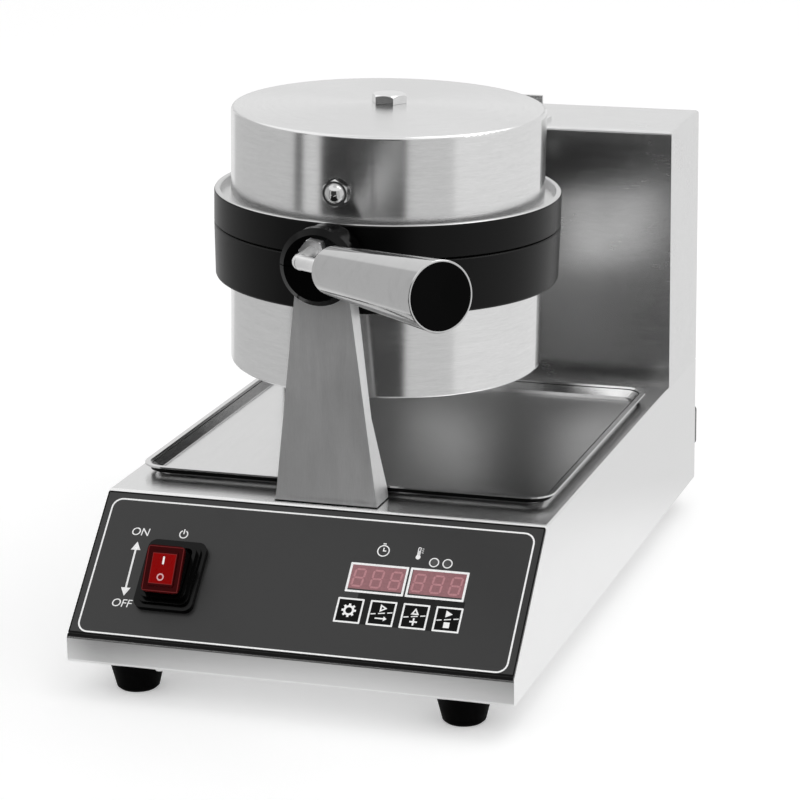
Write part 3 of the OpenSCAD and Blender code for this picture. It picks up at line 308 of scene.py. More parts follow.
brushedLines = brushGroup()
handledSurface = smudgeGroup()
fineGrain = grainGroup()
turnedPlace = roundGroup()
roomTone = roomGroup()


def placeGroup(tree, group, place, **values):
    node = addNode(tree, "ShaderNodeGroup", node_tree=group)
    tree.links.new(place, node.inputs["Vector"])
    for key, value in values.items():
        feed(tree, node.inputs[key], value)
    return node.outputs


# materials
def startMaterial(name):
    material = bpy.data.materials.new(name)
    material.use_nodes = True
    tree = material.node_tree
    tree.nodes.clear()
    shader = addNode(tree, "ShaderNodeBsdfPrincipled")
    output = addNode(tree, "ShaderNodeOutputMaterial")
    tree.links.new(shader.outputs["BSDF"], output.inputs["Surface"])
    place = addNode(tree, "ShaderNodeTexCoord").outputs["Object"]
    return material, tree, shader, place


def setShader(shader, **values):
    for key, value in values.items():
        shader.inputs[key].default_value = value


mould = {
    "place": Vector((0, 0, 0)),
    "tilt": 0.0,
    "coverRadius": 0.0915,
}
for joint in frame["joints"]:
    if joint["name"] == "mold_flip":
        mould["place"] = Vector(joint["pos_m"])
    if joint["name"] == "lid_open":
        mould["tilt"] = math.atan2(joint["axis"][2], -joint["axis"][0])


def mouldPlace(tree, place):
    tilt = (0, mould["tilt"], 0)
    values = {"Axis Place": mould["place"], "Tilt": tilt, "Radius": mould["coverRadius"]}
    return placeGroup(tree, turnedPlace, place, **values)


def handledRough(tree, marks, rough, smudges):
    return blendRange(tree, marks["Mask"], 0, 1, rough, rough + smudges)


def brushedMetal(name, tone, stretch, rough, depth=0.10, streaks=0.06, aniso=0.0, smudges=0.05, turned=False):
    material, tree, shader, place = startMaterial(name)
    pattern = mouldPlace(tree, place)["Vector"] if turned else place
    lines = placeGroup(tree, brushedLines, pattern, Stretch=stretch, Depth=depth)
    marks = placeGroup(tree, handledSurface, place, **effects["sheetMarks"])
    low, high = (rough * share for share in effects["streakRough"])
    lineRough = blendRange(tree, lines["Streak"], *effects["streakRange"], low, high, smooth=False)
    tree.links.new(toned(tree, lines["Streak"], tone, streaks), shader.inputs["Base Color"])
    tree.links.new(mathNode(tree, "MULTIPLY_ADD", marks["Mask"], smudges, lineRough), shader.inputs["Roughness"])
    tree.links.new(lines["Normal"], shader.inputs["Normal"])
    setShader(shader, **{"Metallic": 1.0, "Anisotropic": aniso, "Anisotropic Rotation": 0.25})
    if turned:
        tangent = addNode(tree, "ShaderNodeTangent", direction_type="RADIAL", axis="Z")
        tree.links.new(tangent.outputs[0], shader.inputs["Tangent"])
    return material


def polishedMetal(name, tone, rough, spread=0.05, smudges=0.05):
    material, tree, shader, place = startMaterial(name)
    marks = placeGroup(tree, handledSurface, place, **effects["polishMarks"])
    low, high = tones(tone, spread)
    tree.links.new(ramp(tree, marks["Mask"], ((0.0, high), (1.0, low))), shader.inputs["Base Color"])
    tree.links.new(handledRough(tree, marks, rough, smudges), shader.inputs["Roughness"])
    setShader(shader, Metallic=1.0)
    return material


def grainy(name, tone, rough, size, depth, spread=0.12, metallic=0.0, coat=0.0, smudges=0.08, specular=0.5):
    # moulded plastic, rubber, paint and castings
    material, tree, shader, place = startMaterial(name)
    skin = placeGroup(tree, fineGrain, place, Size=size, Depth=depth)
    marks = placeGroup(tree, handledSurface, place, **effects["skinMarks"])
    tree.links.new(toned(tree, skin["Tone"], tone, spread), shader.inputs["Base Color"])
    tree.links.new(handledRough(tree, marks, rough, smudges), shader.inputs["Roughness"])
    tree.links.new(skin["Normal"], shader.inputs["Normal"])
    setShader(shader, **{"Metallic": metallic, "Coat Weight": coat, "Coat Roughness": 0.08,
                         "Specular IOR Level": specular})
    return material


def paintedGlowFilm(name, tone, glow, strength, rough, size=900.0, depth=0.03):
    # film or ink with a faint painted glow: emission that lightens it, though it is no lamp
    material, tree, shader, place = startMaterial(name)
    skin = placeGroup(tree, fineGrain, place, Size=size, Depth=depth)
    tree.links.new(toned(tree, skin["Tone"], tone, 0.15), shader.inputs["Base Color"])
    tree.links.new(toned(tree, skin["Tone"], glow, 0.1), shader.inputs["Emission Color"])
    setShader(shader, **{"Emission Strength": strength, "Roughness": rough})
    return material


ringCoat = {
    "paint": 0.0006,
    "paintSpread": 0.2,
    "paintRough": 0.32,
    "smudges": 0.08,
    "sheen": 0.18,
    "grain": {"Size": 2200.0, "Depth": 0.12},
    "bare": 0.66,
    "bareSpread": 0.08,
    "bareRough": 0.26,
    "lines": {"Stretch": (60, 1500, 1500), "Depth": 0.08},
    "bareAcross": 0.0990,
    "bareHeight": 0.012,
    "bareNormal": 0.6,
}


def makeRingCoat():
    # black coat with a turned bare rim and channel
    material, tree, shader, place = startMaterial("ringCoat")
    skin = placeGroup(tree, fineGrain, place, **ringCoat["grain"])
    marks = placeGroup(tree, handledSurface, place, **effects["ringMarks"])
    turned = mouldPlace(tree, place)
    lines = placeGroup(tree, brushedLines, turned["Vector"], **ringCoat["lines"])
    facing = mathNode(tree, "ABSOLUTE", parts(tree, addNode(tree, "ShaderNodeTexCoord").outputs["Normal"])[2])
    flat = mathNode(tree, "GREATER_THAN", facing, ringCoat["bareNormal"])
    inside = mathNode(tree, "LESS_THAN", turned["Across"], ringCoat["bareAcross"])
    away = mathNode(tree, "GREATER_THAN", mathNode(tree, "ABSOLUTE", turned["Height"]), ringCoat["bareHeight"])
    bare = mathNode(tree, "MULTIPLY", mathNode(tree, "MAXIMUM", flat, inside), away)
    paint = toned(tree, skin["Tone"], ringCoat["paint"], ringCoat["paintSpread"])
    metal = toned(tree, lines["Streak"], ringCoat["bare"], ringCoat["bareSpread"])
    coat = handledRough(tree, marks, ringCoat["paintRough"], ringCoat["smudges"])
    rough = blendRange(tree, bare, 0, 1, coat, ringCoat["bareRough"], smooth=False)
    tree.links.new(mixColour(tree, bare, paint, metal), shader.inputs["Base Color"])
    tree.links.new(bare, shader.inputs["Metallic"])
    tree.links.new(rough, shader.inputs["Roughness"])
    tree.links.new(skin["Normal"], shader.inputs["Normal"])
    setShader(shader, **{"Specular IOR Level": ringCoat["sheen"]})
    return material


rockerLook = {
    "place": (-77.5, 42.0, 6.0),
    "tilt": 14.0,
    "face": 11.22,
    "field": (6.9, 8.6),
    "rim": (10.4, 12.7),
    "line": 0.22,
    "soft": 0.1,
    "border": (0.045, 0.0005, 0.001),
    "bright": (0.30, 0.0008, 0.0008),
    # the light line's tone and share are a painted highlight on the lens's edges
    "paintedHighlightTone": (0.35, 0.05, 0.05, 1),
    "paintedHighlightShare": 0.45,
    "rough": (0.06, 0.14),
    "sheen": 0.04,
    "grain": {"Size": 900.0, "Depth": 0.02},
    "on": {"width": 1.1, "height": 4.5, "corner": 0.2, "at": (-0.2, 4.7)},
    "off": {"radius": 2.1, "line": 0.75, "at": (-0.5, -4.9)},
}


def makeRockerFace():
    # clear red lens: a bright field in a dark border, with a thin painted highlight line round each
    material, tree, shader, place = startMaterial("rockerFace")
    skin = placeGroup(tree, fineGrain, place, **rockerLook["grain"])
    local = addNode(tree, "ShaderNodeMapping", vector_type="TEXTURE")
    tree.links.new(place, local.inputs["Vector"])
    local.inputs["Location"].default_value = rockerFrame.to_translation()
    local.inputs["Rotation"].default_value = rockerFrame.to_euler()
    x, y, _ = parts(tree, local.outputs["Vector"])
    reaches = mathNode(tree, "ABSOLUTE", x), mathNode(tree, "ABSOLUTE", y)
    soft = rockerLook["soft"] * mm

    def within(size, edge=0.0):
        gaps = (mathNode(tree, "SUBTRACT", (half + edge) * mm, reach) for half, reach in zip(size, reaches))
        return blendRange(tree, mathNode(tree, "MINIMUM", *gaps), -soft, soft)

    def line(size):
        return mathNode(tree, "SUBTRACT", within(size, rockerLook["line"]), within(size, -rockerLook["line"]))

    # the light lines round the field and the rim are painted highlights on their edges
    lines = mathNode(tree, "MAXIMUM", line(rockerLook["field"]), line(rockerLook["rim"]))
    share = mathNode(tree, "MULTIPLY", lines, rockerLook["paintedHighlightShare"])
    body = ramp(tree, within(rockerLook["field"]), ((0, rockerLook["border"]), (1, rockerLook["bright"])))
    tree.links.new(mixColour(tree, share, body, rockerLook["paintedHighlightTone"]), shader.inputs["Base Color"])
    tree.links.new(blendRange(tree, skin["Tone"], 0, 1, *rockerLook["rough"]), shader.inputs["Roughness"])
    tree.links.new(skin["Normal"], shader.inputs["Normal"])
    setShader(shader, **{"Specular IOR Level": rockerLook["sheen"]})
    return material


# brush lines run along the small number
along = {"x": (150, 1500, 1500), "y": (1500, 150, 1500), "z": (1500, 1500, 150), "round": (240, 2500, 2500)}

sheets = {
    "baseSheet": {"tone": 0.78, "stretch": along["y"], "rough": 0.24, "depth": 0.02, "streaks": 0.03, "smudges": 0.02},
    "columnSheet": {"tone": 0.76, "stretch": along["x"], "rough": 0.24, "depth": 0.03, "streaks": 0.08},
    "coverSheet": {"tone": 0.78, "stretch": along["round"], "rough": 0.20, "depth": 0.035, "streaks": 0.08,
                   "aniso": 0.85, "turned": True},
    "traySheet": {"tone": 0.72, "stretch": along["y"], "rough": 0.14, "depth": 0.02, "streaks": 0.04},
    "postSheet": {"tone": 0.95, "stretch": along["z"], "rough": 0.48, "depth": 0.03},
    "hiddenSteel": {"tone": 0.62, "stretch": along["y"], "rough": 0.40},
}
polished = {
    "chrome": {"tone": 0.58, "rough": 0.06},
    "brightSteel": {"tone": 0.80, "rough": 0.12},
    "rodSteel": {"tone": 0.94, "rough": 0.30},
    "zinc": {"tone": 0.70, "rough": 0.18},
    "brass": {"tone": (0.72, 0.52, 0.24), "rough": 0.25},
}
skins = {
    "hubGloss": {"tone": 0.001, "rough": 0.14, "size": 600, "depth": 0.03, "specular": 0.14},
    "castPlate": {"tone": 0.07, "rough": 0.38, "size": 1800, "depth": 0.35, "metallic": 0.6},
    "bareCast": {"tone": 0.42, "rough": 0.40, "size": 900, "depth": 0.3, "metallic": 1.0},
    "foot": {"tone": 0.0006, "rough": 0.6, "size": 1400, "depth": 0.25, "specular": 0.03},
    "panelFilm": {"tone": 0.019, "rough": 0.38, "size": 5200, "depth": 0.08, "spread": 0.06},
    "patchFilm": {"tone": 0.006, "rough": 0.38, "size": 5200, "depth": 0.08, "spread": 0.06, "specular": 0.22},
    "keyFilm": {"tone": 0.0015, "rough": 0.30, "size": 4000, "depth": 0.05, "specular": 0.10},
    "blackPlastic": {"tone": 0.001, "rough": 0.16, "size": 1600, "depth": 0.06, "specular": 0.16},
    "capPlastic": {"tone": 0.0005, "rough": 0.30, "size": 1200, "depth": 0.08, "specular": 0.05},
    "lamp": {"tone": 0.05, "rough": 0.2, "size": 700, "depth": 0.05, "coat": 0.4},
    "pinkInk": {"tone": (0.85, 0.50, 0.52), "rough": 0.5, "size": 6000, "depth": 0.05, "spread": 0.03, "specular": 0.2},
    "wool": {"tone": (0.74, 0.70, 0.62), "rough": 0.9, "size": 400, "depth": 0.9, "spread": 0.25},
    "boardGreen": {"tone": (0.02, 0.14, 0.05), "rough": 0.35, "size": 700, "depth": 0.1},
    "paleModule": {"tone": (0.62, 0.61, 0.56), "rough": 0.4, "size": 900, "depth": 0.1},
    "coilBrown": {"tone": (0.16, 0.09, 0.04), "rough": 0.35, "size": 500, "depth": 0.4},
    "heaterTube": {"tone": (0.20, 0.17, 0.15), "rough": 0.35, "size": 500, "depth": 0.3, "metallic": 0.8},
}
# the emission on these films and inks is a painted glow
films = {
    "redLens": {"tone": (0.13, 0.04, 0.045), "glow": (0.26, 0.125, 0.14), "strength": 0.6, "rough": 0.18},
    "digitRed": {"tone": (0.24, 0.10, 0.11), "glow": (0.38, 0.18, 0.20), "strength": 0.6, "rough": 0.25},
    "whiteInk": {"tone": 0.86, "glow": 1.0, "strength": 0.22, "rough": 0.5},
}
finishes = {}


def makeFinishes():
    for maker, table in ((brushedMetal, sheets), (polishedMetal, polished), (grainy, skins), (paintedGlowFilm, films)):
        for name, values in table.items():
            finishes[name] = maker(name, **values)
    finishes["ringCoat"] = makeRingCoat()
    finishes["rockerFace"] = makeRockerFace()


nodeFinish = {
    "baseSheet": "base_housing base_plate lid_rest",
    "columnSheet": "column_cover column_back",
    "coverSheet": "lower_cover upper_cover",
    "traySheet": "drip_tray",
    "postSheet": "front_post",
    "hiddenSteel": "flip_stop lower_clamp upper_clamp",
    "chrome": "lower_cap_nuts upper_cap_nuts handle_grip",
    "brightSteel": "lower_bolt upper_bolt",
    "rodSteel": "handle_rod",
    "zinc": "cover_screws foot_screws bracket_screws hinge_pin rear_shaft lower_probe upper_probe",
    "brass": "switch_terminals board_spacers",
    "ringCoat": "lower_ring upper_ring",
    "hubGloss": "lower_trunnion upper_trunnion",
    "castPlate": "lower_plate upper_plate",
    "bareCast": "bearing_housing shaft_collar",
    "foot": "rubber_feet",
    "panelFilm": "panel_overlay",
    "keyFilm": "key_set key_right key_up key_start",
    "blackPlastic": "switch_housing rocker cable_entry_plate cable_gland gland_nut key_switches",
    "capPlastic": "grip_cap",
    "rockerFace": "rocker_lens",
    "redLens": "display_windows",
    "lamp": "indicator_lamps",
    "wool": "lower_insulation upper_insulation",
    "boardGreen": "control_board",
    "paleModule": "display_modules power_relays terminal_block",
    "coilBrown": "transformer",
    "heaterTube": "lower_heater upper_heater",
}


def dressNodes():
    for finish, names in nodeFinish.items():
        for name in names.split():
            mesh = nodes[name].data
            mesh.materials.clear()
            mesh.materials.append(finishes[finish])


# floor, room and lamps
studio = {
    "floorSize": 14.0,
    "floorTone": 0.92,
    "floorRough": 0.9,
    "floorLift": 0.30,
    "keyPower": 7.0,
    "keyPlace": (0.8, 0.5, 1.9),
    "keyAim": (0, 0, 0.15),
    "keySize": 1.3,
}


def makeFloor():
    material, tree, shader, place = startMaterial("floorPaper")
    paper = (*grey(studio["floorTone"]), 1)
    setShader(shader, **{"Base Color": paper, "Roughness": studio["floorRough"], "Emission Color": (1, 1, 1, 1)})
    path = addNode(tree, "ShaderNodeLightPath").outputs
    seen = mathNode(tree, "MAXIMUM", path["Is Camera Ray"], path["Is Glossy Ray"])
    seen = mathNode(tree, "MAXIMUM", seen, path["Is Transmission Ray"])
    tree.links.new(mathNode(tree, "MULTIPLY", seen, studio["floorLift"]), shader.inputs["Emission Strength"])
    # away from the table's middle a shiny surface sees the room's walls
    x, y, _ = parts(tree, place)
    away = blendRange(tree, reachOf(tree, x, y), *room["table"])
    far = mathNode(tree, "MULTIPLY", away, path["Is Glossy Ray"])
    wall = addNode(tree, "ShaderNodeEmission")
    tree.links.new(placeGroup(tree, roomTone, place)["Tone"], wall.inputs["Strength"])
    mix = addNode(tree, "ShaderNodeMixShader")
    tree.links.new(far, mix.inputs[0])
    tree.links.new(shader.outputs[0], mix.inputs[1])
    tree.links.new(wall.outputs[0], mix.inputs[2])
    output = next(node for node in tree.nodes if node.type == "OUTPUT_MATERIAL")
    tree.links.new(mix.outputs[0], output.inputs["Surface"])
    sheet = bmesh.new()
    bmesh.ops.create_grid(sheet, x_segments=1, y_segments=1, size=studio["floorSize"] / 2)
    finishPiece("floor", sheet, material)


def makeRoom():
    world = bpy.data.worlds.new("studioRoom")
    scene.world = world
    world.use_nodes = True
    tree = world.node_tree
    tree.nodes.clear()
    way = addNode(tree, "ShaderNodeTexCoord").outputs["Generated"]
    height = parts(tree, way)[2]
    wall = placeGroup(tree, roomTone, way)["Tone"]
    ceiling = blendRange(tree, height, *room["wallTop"], wall, room["ceiling"])
    ceiling = blendRange(tree, height, *room["overheadStart"], ceiling, room["overhead"])
    path = addNode(tree, "ShaderNodeLightPath").outputs
    tone = blendRange(tree, path["Is Glossy Ray"], 0, 1, room["sky"], ceiling, smooth=False)
    tone = mathNode(tree, "MAXIMUM", tone, path["Is Camera Ray"])
    light = addNode(tree, "ShaderNodeBackground", Color=(1, 1, 1, 1))
    tree.links.new(tone, light.inputs["Strength"])
    tree.links.new(light.outputs[0], addNode(tree, "ShaderNodeOutputWorld").inputs["Surface"])


def makeLamps():
    data = bpy.data.lights.new("keyLight", "AREA")
    data.shape, data.size, data.energy = "SQUARE", studio["keySize"], studio["keyPower"]
    lamp = bpy.data.objects.new("keyLight", data)
    scene.collection.objects.link(lamp)
    lamp.location = studio["keyPlace"]
    lamp.rotation_euler = (Vector(studio["keyAim"]) - lamp.location).to_track_quat("-Z", "Y").to_euler()


# pieces
def finishPiece(name, mesh, material, body=None, smooth=None):
    bmesh.ops.recalc_face_normals(mesh, faces=mesh.faces)
    data = bpy.data.meshes.new(name)
    mesh.to_mesh(data)
    mesh.free()
    data.materials.append(material)
    piece = bpy.data.objects.new(name, data)
    scene.collection.objects.link(piece)
    if smooth:
        data.shade_smooth()
        data.set_sharp_from_angle(angle=math.radians(smooth))
    if body:
        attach(piece, body)
    return piece


# control panel
panel = {
    "lipHeight": 15 * mm,
    "slopeDepth": 68.5 * mm,
    "face": 0.87 * mm,
    "ink": 0.06 * mm,
}
rise = baseHigh.z - baseLow.z - panel["lipHeight"]
panelAngle = math.atan2(rise, panel["slopeDepth"])
panelFrame = Matrix.Translation((0, baseLow.y, baseLow.z + panel["lipHeight"])) @ Matrix.Rotation(panelAngle, 4, "X")
rockerFrame = panelFrame @ Matrix.Translation(Vector(rockerLook["place"]) * mm)
rockerFrame = rockerFrame @ Matrix.Rotation(math.radians(rockerLook["tilt"]), 4, "X")


def flatOutline(mesh, width, height, corner=0.0, line=0.0, at=(0, 0), turn=0.0, rounds=6):
    # a flat rounded rectangle, or with line its frame
    made = bmesh.ops.create_grid(mesh, x_segments=1, y_segments=1, size=0.5)["verts"]
    bmesh.ops.scale(mesh, vec=(width, height, 1), verts=made)
    faces = {f for v in made for f in v.link_faces}
    if corner:
        result = bmesh.ops.bevel(mesh, geom=made, offset=corner, offset_type="OFFSET", segments=rounds,
                                 profile=0.5, affect="VERTICES", material=-1)
        faces = {f for v in result["verts"] for f in v.link_faces}
    if line:
        inner = list(faces)
        faces = set(bmesh.ops.inset_region(mesh, faces=inner, thickness=line, use_even_offset=True,
                                           use_boundary=True)["faces"])
        bmesh.ops.delete(mesh, geom=inner, context="FACES_ONLY")
    verts = list({v for f in faces for v in f.verts})
    bmesh.ops.rotate(mesh, cent=(0, 0, 0), matrix=Matrix.Rotation(turn, 3, "Z"), verts=verts)
    bmesh.ops.translate(mesh, vec=(*at, 0), verts=verts)
    return verts


def flatRing(mesh, radius, line, at, segments=32):
    outer = bmesh.ops.create_circle(mesh, segments=segments, radius=radius)["verts"]
    inner = bmesh.ops.create_circle(mesh, segments=segments, radius=radius - line)["verts"]
    edges = list({e for v in outer + inner for e in v.link_edges})
    bmesh.ops.bridge_loops(mesh, edges=edges)
    bmesh.ops.translate(mesh, vec=(*at, 0), verts=outer + inner)
    return outer + inner


def flatShape(mesh, points, at=(0, 0), turn=0.0):
    corners = [mesh.verts.new((x, y, 0)) for x, y in points]
    mesh.faces.new(corners)
    bmesh.ops.rotate(mesh, cent=(0, 0, 0), matrix=Matrix.Rotation(turn, 3, "Z"), verts=corners)
    bmesh.ops.translate(mesh, vec=(*at, 0), verts=corners)
    return corners


fontPerCapital = 1.38


def flatWord(mesh, word, height, at, shear=0.0):
    curve = bpy.data.curves.new("word", "FONT")
    curve.body, curve.size, curve.shear = word, height * fontPerCapital, shear
    curve.align_x, curve.align_y = "CENTER", "CENTER"
    text = bpy.data.objects.new("word", curve)
    scene.collection.objects.link(text)
    flat = bpy.data.meshes.new_from_object(text)
    before = set(mesh.verts)
    mesh.from_mesh(flat)
    bmesh.ops.translate(mesh, vec=(*at, 0), verts=[v for v in mesh.verts if v not in before])
    bpy.data.objects.remove(text)
    bpy.data.meshes.remove(flat)


def makeBlock(mesh, low, high):
    verts = bmesh.ops.create_cube(mesh, size=1.0)["verts"]
    bmesh.ops.scale(mesh, vec=[b - a for a, b in zip(low, high)], verts=verts)
    bmesh.ops.translate(mesh, vec=[(a + b) / 2 for a, b in zip(low, high)], verts=verts)


def finishPrint(name, mesh, material, body, height, place=None):
    # gives flat print the thickness of ink and lays it on the panel, height above the film's face
    bmesh.ops.remove_doubles(mesh, verts=mesh.verts, dist=1e-7)
    bmesh.ops.recalc_face_normals(mesh, faces=mesh.faces)
    for face in mesh.faces:
        if face.normal.z < 0:
            face.normal_flip()
    bmesh.ops.solidify(mesh, geom=mesh.faces, thickness=panel["ink"])
    low = min(v.co.z for v in mesh.verts)
    bmesh.ops.translate(mesh, vec=(0, 0, height - low), verts=mesh.verts)
    bmesh.ops.transform(mesh, matrix=place or panelFrame, verts=mesh.verts)
    return finishPiece(name, mesh, material, body)


legend = {
    "border": {"width": 250.6, "height": 85.8, "s": 46.4, "corner": 6.5, "line": 0.95},
    "filmEdge": {"width": 259.0, "height": 91.0, "s": 47.7, "corner": 1.0, "line": 0.7,
                 "foot": (2.9, 3.5), "lap": (0.2, 2.0)},
    "windowFrame": {"width": 33.6, "height": 18.2, "corner": 0.3, "line": 1.25, "s": 52.7, "xs": (41.2, 75.9)},
    "keyFrame": {"size": 15.2, "corner": 0.3, "line": 1.0, "s": 32.2, "xs": (29.5, 48.4, 67.3, 86.2)},
    "lamps": {"xs": (71.3, 79.0), "s": 66.0, "radius": 2.9, "line": 0.7},
    "arrow": {"top": (-103.6, 62.4), "bottom": (-102.8, 28.0), "line": 1.1, "head": 5.2, "flare": 0.55},
    "words": (("ON", (-103.6, 68.6)), ("OFF", (-103.0, 23.2))),
    "wordHeight": 5.0,
    "wordLean": 0.12,
    "power": {"at": (-77.5, 69.6), "size": 2.7},
    "clock": {"at": (41.0, 70.4), "size": 3.6},
    "thermometer": {"at": (61.5, 71.0), "size": 7.2},
}


def makeLegend():
    ink = bmesh.new()
    spec = legend["border"]
    size = [spec[key] * mm for key in ("width", "height", "corner", "line")]
    flatOutline(ink, *size, (0, spec["s"] * mm))
    spec = legend["windowFrame"]
    size = [spec[key] * mm for key in ("width", "height", "corner", "line")]
    for x in spec["xs"]:
        flatOutline(ink, *size, (x * mm, spec["s"] * mm), rounds=2)
    spec = legend["lamps"]
    for x in spec["xs"]:
        flatRing(ink, spec["radius"] * mm, spec["line"] * mm, (x * mm, spec["s"] * mm))
    spec = legend["arrow"]
    top, bottom = Vector(spec["top"]) * mm, Vector(spec["bottom"]) * mm
    way = top - bottom
    turn = math.atan2(way.y, way.x) - math.pi / 2
    head, half = spec["head"] * mm, spec["head"] * spec["flare"] * mm
    flatOutline(ink, spec["line"] * mm, way.length - 1.4 * head, at=(top + bottom) / 2, turn=turn)
    for tip, flip in ((top, 0), (bottom, math.pi)):
        flatShape(ink, ((0, 0), (-half, -head), (half, -head)), tip, turn + flip)
    for word, at in legend["words"]:
        flatWord(ink, word, legend["wordHeight"] * mm, [a * mm for a in at], shear=legend["wordLean"])
    for sign, draw in (("power", powerMark), ("clock", clockMark), ("thermometer", thermometerMark)):
        draw(ink, [a * mm for a in legend[sign]["at"]], legend[sign]["size"] * mm)
    finishPrint("panelLegend", ink, finishes["whiteInk"], "base", panel["face"])


def makeFilmEdge():
    # black edge of the panel's film, wider along the lip
    spec = legend["filmEdge"]
    width, height, corner, line, s = (spec[key] * mm for key in ("width", "height", "corner", "line", "s"))
    edge = bmesh.new()
    flatOutline(edge, width, height, corner, line, (0, s))
    finishPrint("filmEdge", edge, finishes["keyFilm"], "base", panel["face"])
    low, high = (a * mm for a in spec["foot"])
    foot = bmesh.new()
    flatOutline(foot, width - 2 * line, high - low, at=(0, (low + high) / 2))
    finishPrint("filmFoot", foot, finishes["keyFilm"], "base", panel["face"])
    low, high = (a * mm for a in spec["lap"])
    lap = bmesh.new()
    makeBlock(lap, (-width / 2, low, 0.0), (width / 2, high, panel["face"] + panel["ink"]))
    bmesh.ops.transform(lap, matrix=panelFrame, verts=lap.verts)
    finishPiece("filmLap", lap, finishes["keyFilm"], "base")


# the signs are drawn in shares of their own size
def powerMark(mesh, at, radius):
    line = radius * 0.26
    ring = set(flatRing(mesh, radius, line, at, 40))
    faces = [(f, f.calc_center_median()) for f in mesh.faces if all(v in ring for v in f.verts)]
    gap = [f for f, middle in faces if middle.y > at[1] + radius * 0.5 and abs(middle.x - at[0]) < radius * 0.42]
    bmesh.ops.delete(mesh, geom=gap, context="FACES")
    flatOutline(mesh, line, radius * 1.15, at=(at[0], at[1] + radius * 0.62))


def clockMark(mesh, at, radius):
    line = radius * 0.18
    flatRing(mesh, radius, line, at, 40)
    flatOutline(mesh, line, radius * 0.62, at=(at[0], at[1] + radius * 0.24))
    flatOutline(mesh, radius * 0.5, line, at=(at[0] + radius * 0.2, at[1]))
    flatOutline(mesh, radius * 0.5, line, at=(at[0], at[1] + radius * 1.22))


def thermometerMark(mesh, at, height):
    width = height * 0.24
    flatOutline(mesh, width, height * 0.8, width * 0.45, width * 0.24, (at[0], at[1] + height * 0.1))
    disc = bmesh.ops.create_circle(mesh, cap_ends=True, segments=24, radius=width * 0.8)["verts"]
    bmesh.ops.translate(mesh, vec=(at[0], at[1] - height * 0.36, 0), verts=disc)
    flatOutline(mesh, width * 0.3, height * 0.5, at=(at[0], at[1] - height * 0.05))
    for step in range(3):
        flatOutline(mesh, width * 0.6, width * 0.2, at=(at[0] + width * 1.15, at[1] + height * (0.38 - 0.17 * step)))


keyArt = {
    "height": 1.03,
    "patch": {"width": 61.0, "x": 63.3},
    "gear": {"radius": 3.1, "line": 1.2, "teeth": 8, "tooth": 1.3, "reach": 3.5},
    "dash": {"long": 3.8, "short": 2.9, "line": 0.6, "pitch": 4.7, "rise": 0.7, "turn": 0.15},
    "triangle": {"size": 2.7, "hollow": 0.42},
    "right": {"rise": 3.1, "drop": 3.2, "length": 5.2, "line": 0.8, "x": -0.6, "head": (1.9, 1.5), "tip": 3.6},
    "up": {"rise": 2.4, "drop": 3.3, "length": 4.4, "line": 0.9},
    "start": {"rise": 3.3, "drop": 3.4, "tip": 2.3, "back": 1.6, "half": 2.1, "stop": 3.4},
}


def makeKeyPrints():
    spec = legend["keyFrame"]
    size, corner, line, s = (spec[key] * mm for key in ("size", "corner", "line", "s"))
    xs = [x * mm for x in spec["xs"]]
    frames = bmesh.new()
    for x in xs:
        flatOutline(frames, size, size, corner, line, (x, s), rounds=2)
    finishPrint("keyFrames", frames, finishes["whiteInk"], "base", panel["face"])
    # darker film between the windows and the keys
    patch = bmesh.new()
    pitch, low = xs[1] - xs[0], s + size / 2
    high = (legend["windowFrame"]["s"] - legend["windowFrame"]["height"] / 2) * mm
    flatOutline(patch, keyArt["patch"]["width"] * mm, high - low, at=(keyArt["patch"]["x"] * mm, (low + high) / 2))
    for x in xs[:-1]:
        flatOutline(patch, pitch - size, size, at=(x + pitch / 2, s))
    finishPrint("keyPatch", patch, finishes["patchFilm"], "base", panel["face"])
    marks = {"key_set": gearMark, "key_right": rightMark, "key_up": upMark, "key_start": startMark}
    for (name, draw), x in zip(marks.items(), xs):
        mark = bmesh.new()
        draw(mark, x, s)
        finishPrint(name + "Mark", mark, finishes["whiteInk"], name + "_cap", keyArt["height"] * mm)


def art(name, *keys):
    return [keyArt[name][key] * mm for key in keys]


def dashes(mesh, x, y):
    long, short, line, pitch, rise = art("dash", "long", "short", "line", "pitch", "rise")
    for step in (-1, 0, 1):
        flatOutline(mesh, short if step else long, line, at=(x + step * pitch, y + step * rise),
                    turn=keyArt["dash"]["turn"])


def hollowTriangle(mesh, x, y, turn):
    size = keyArt["triangle"]["size"] * mm
    angles = [math.radians(90 + 120 * i) for i in range(3)]
    outer, inner = ([mesh.verts.new((reach * math.cos(a), reach * math.sin(a), 0)) for a in angles]
                    for reach in (size, size * keyArt["triangle"]["hollow"]))
    for i in range(3):
        mesh.faces.new((outer[i], outer[(i + 1) % 3], inner[(i + 1) % 3], inner[i]))
    bmesh.ops.rotate(mesh, cent=(0, 0, 0), matrix=Matrix.Rotation(turn, 3, "Z"), verts=outer + inner)
    bmesh.ops.translate(mesh, vec=(x, y, 0), verts=outer + inner)


def gearMark(mesh, x, y):
    radius, line, tooth, reach = art("gear", "radius", "line", "tooth", "reach")
    flatRing(mesh, radius, line, (x, y))
    for count in range(keyArt["gear"]["teeth"]):
        angle = count * math.tau / keyArt["gear"]["teeth"]
        flatOutline(mesh, tooth, tooth, at=(x + reach * math.cos(angle), y + reach * math.sin(angle)), turn=angle)


def rightMark(mesh, x, y):
    rise, drop, length, line, shift, tip = art("right", "rise", "drop", "length", "line", "x", "tip")
    back, half = (a * mm for a in keyArt["right"]["head"])
    hollowTriangle(mesh, x, y + rise, -math.pi / 2)
    dashes(mesh, x, y)
    flatOutline(mesh, length, line, at=(x + shift, y - drop))
    flatShape(mesh, ((0, 0), (-back, half), (-back, -half)), (x + tip, y - drop))


def upMark(mesh, x, y):
    rise, drop, length, line = art("up", "rise", "drop", "length", "line")
    hollowTriangle(mesh, x, y + rise, 0)
    dashes(mesh, x, y)
    flatOutline(mesh, length, line, at=(x, y - drop))
    flatOutline(mesh, line, length, at=(x, y - drop))


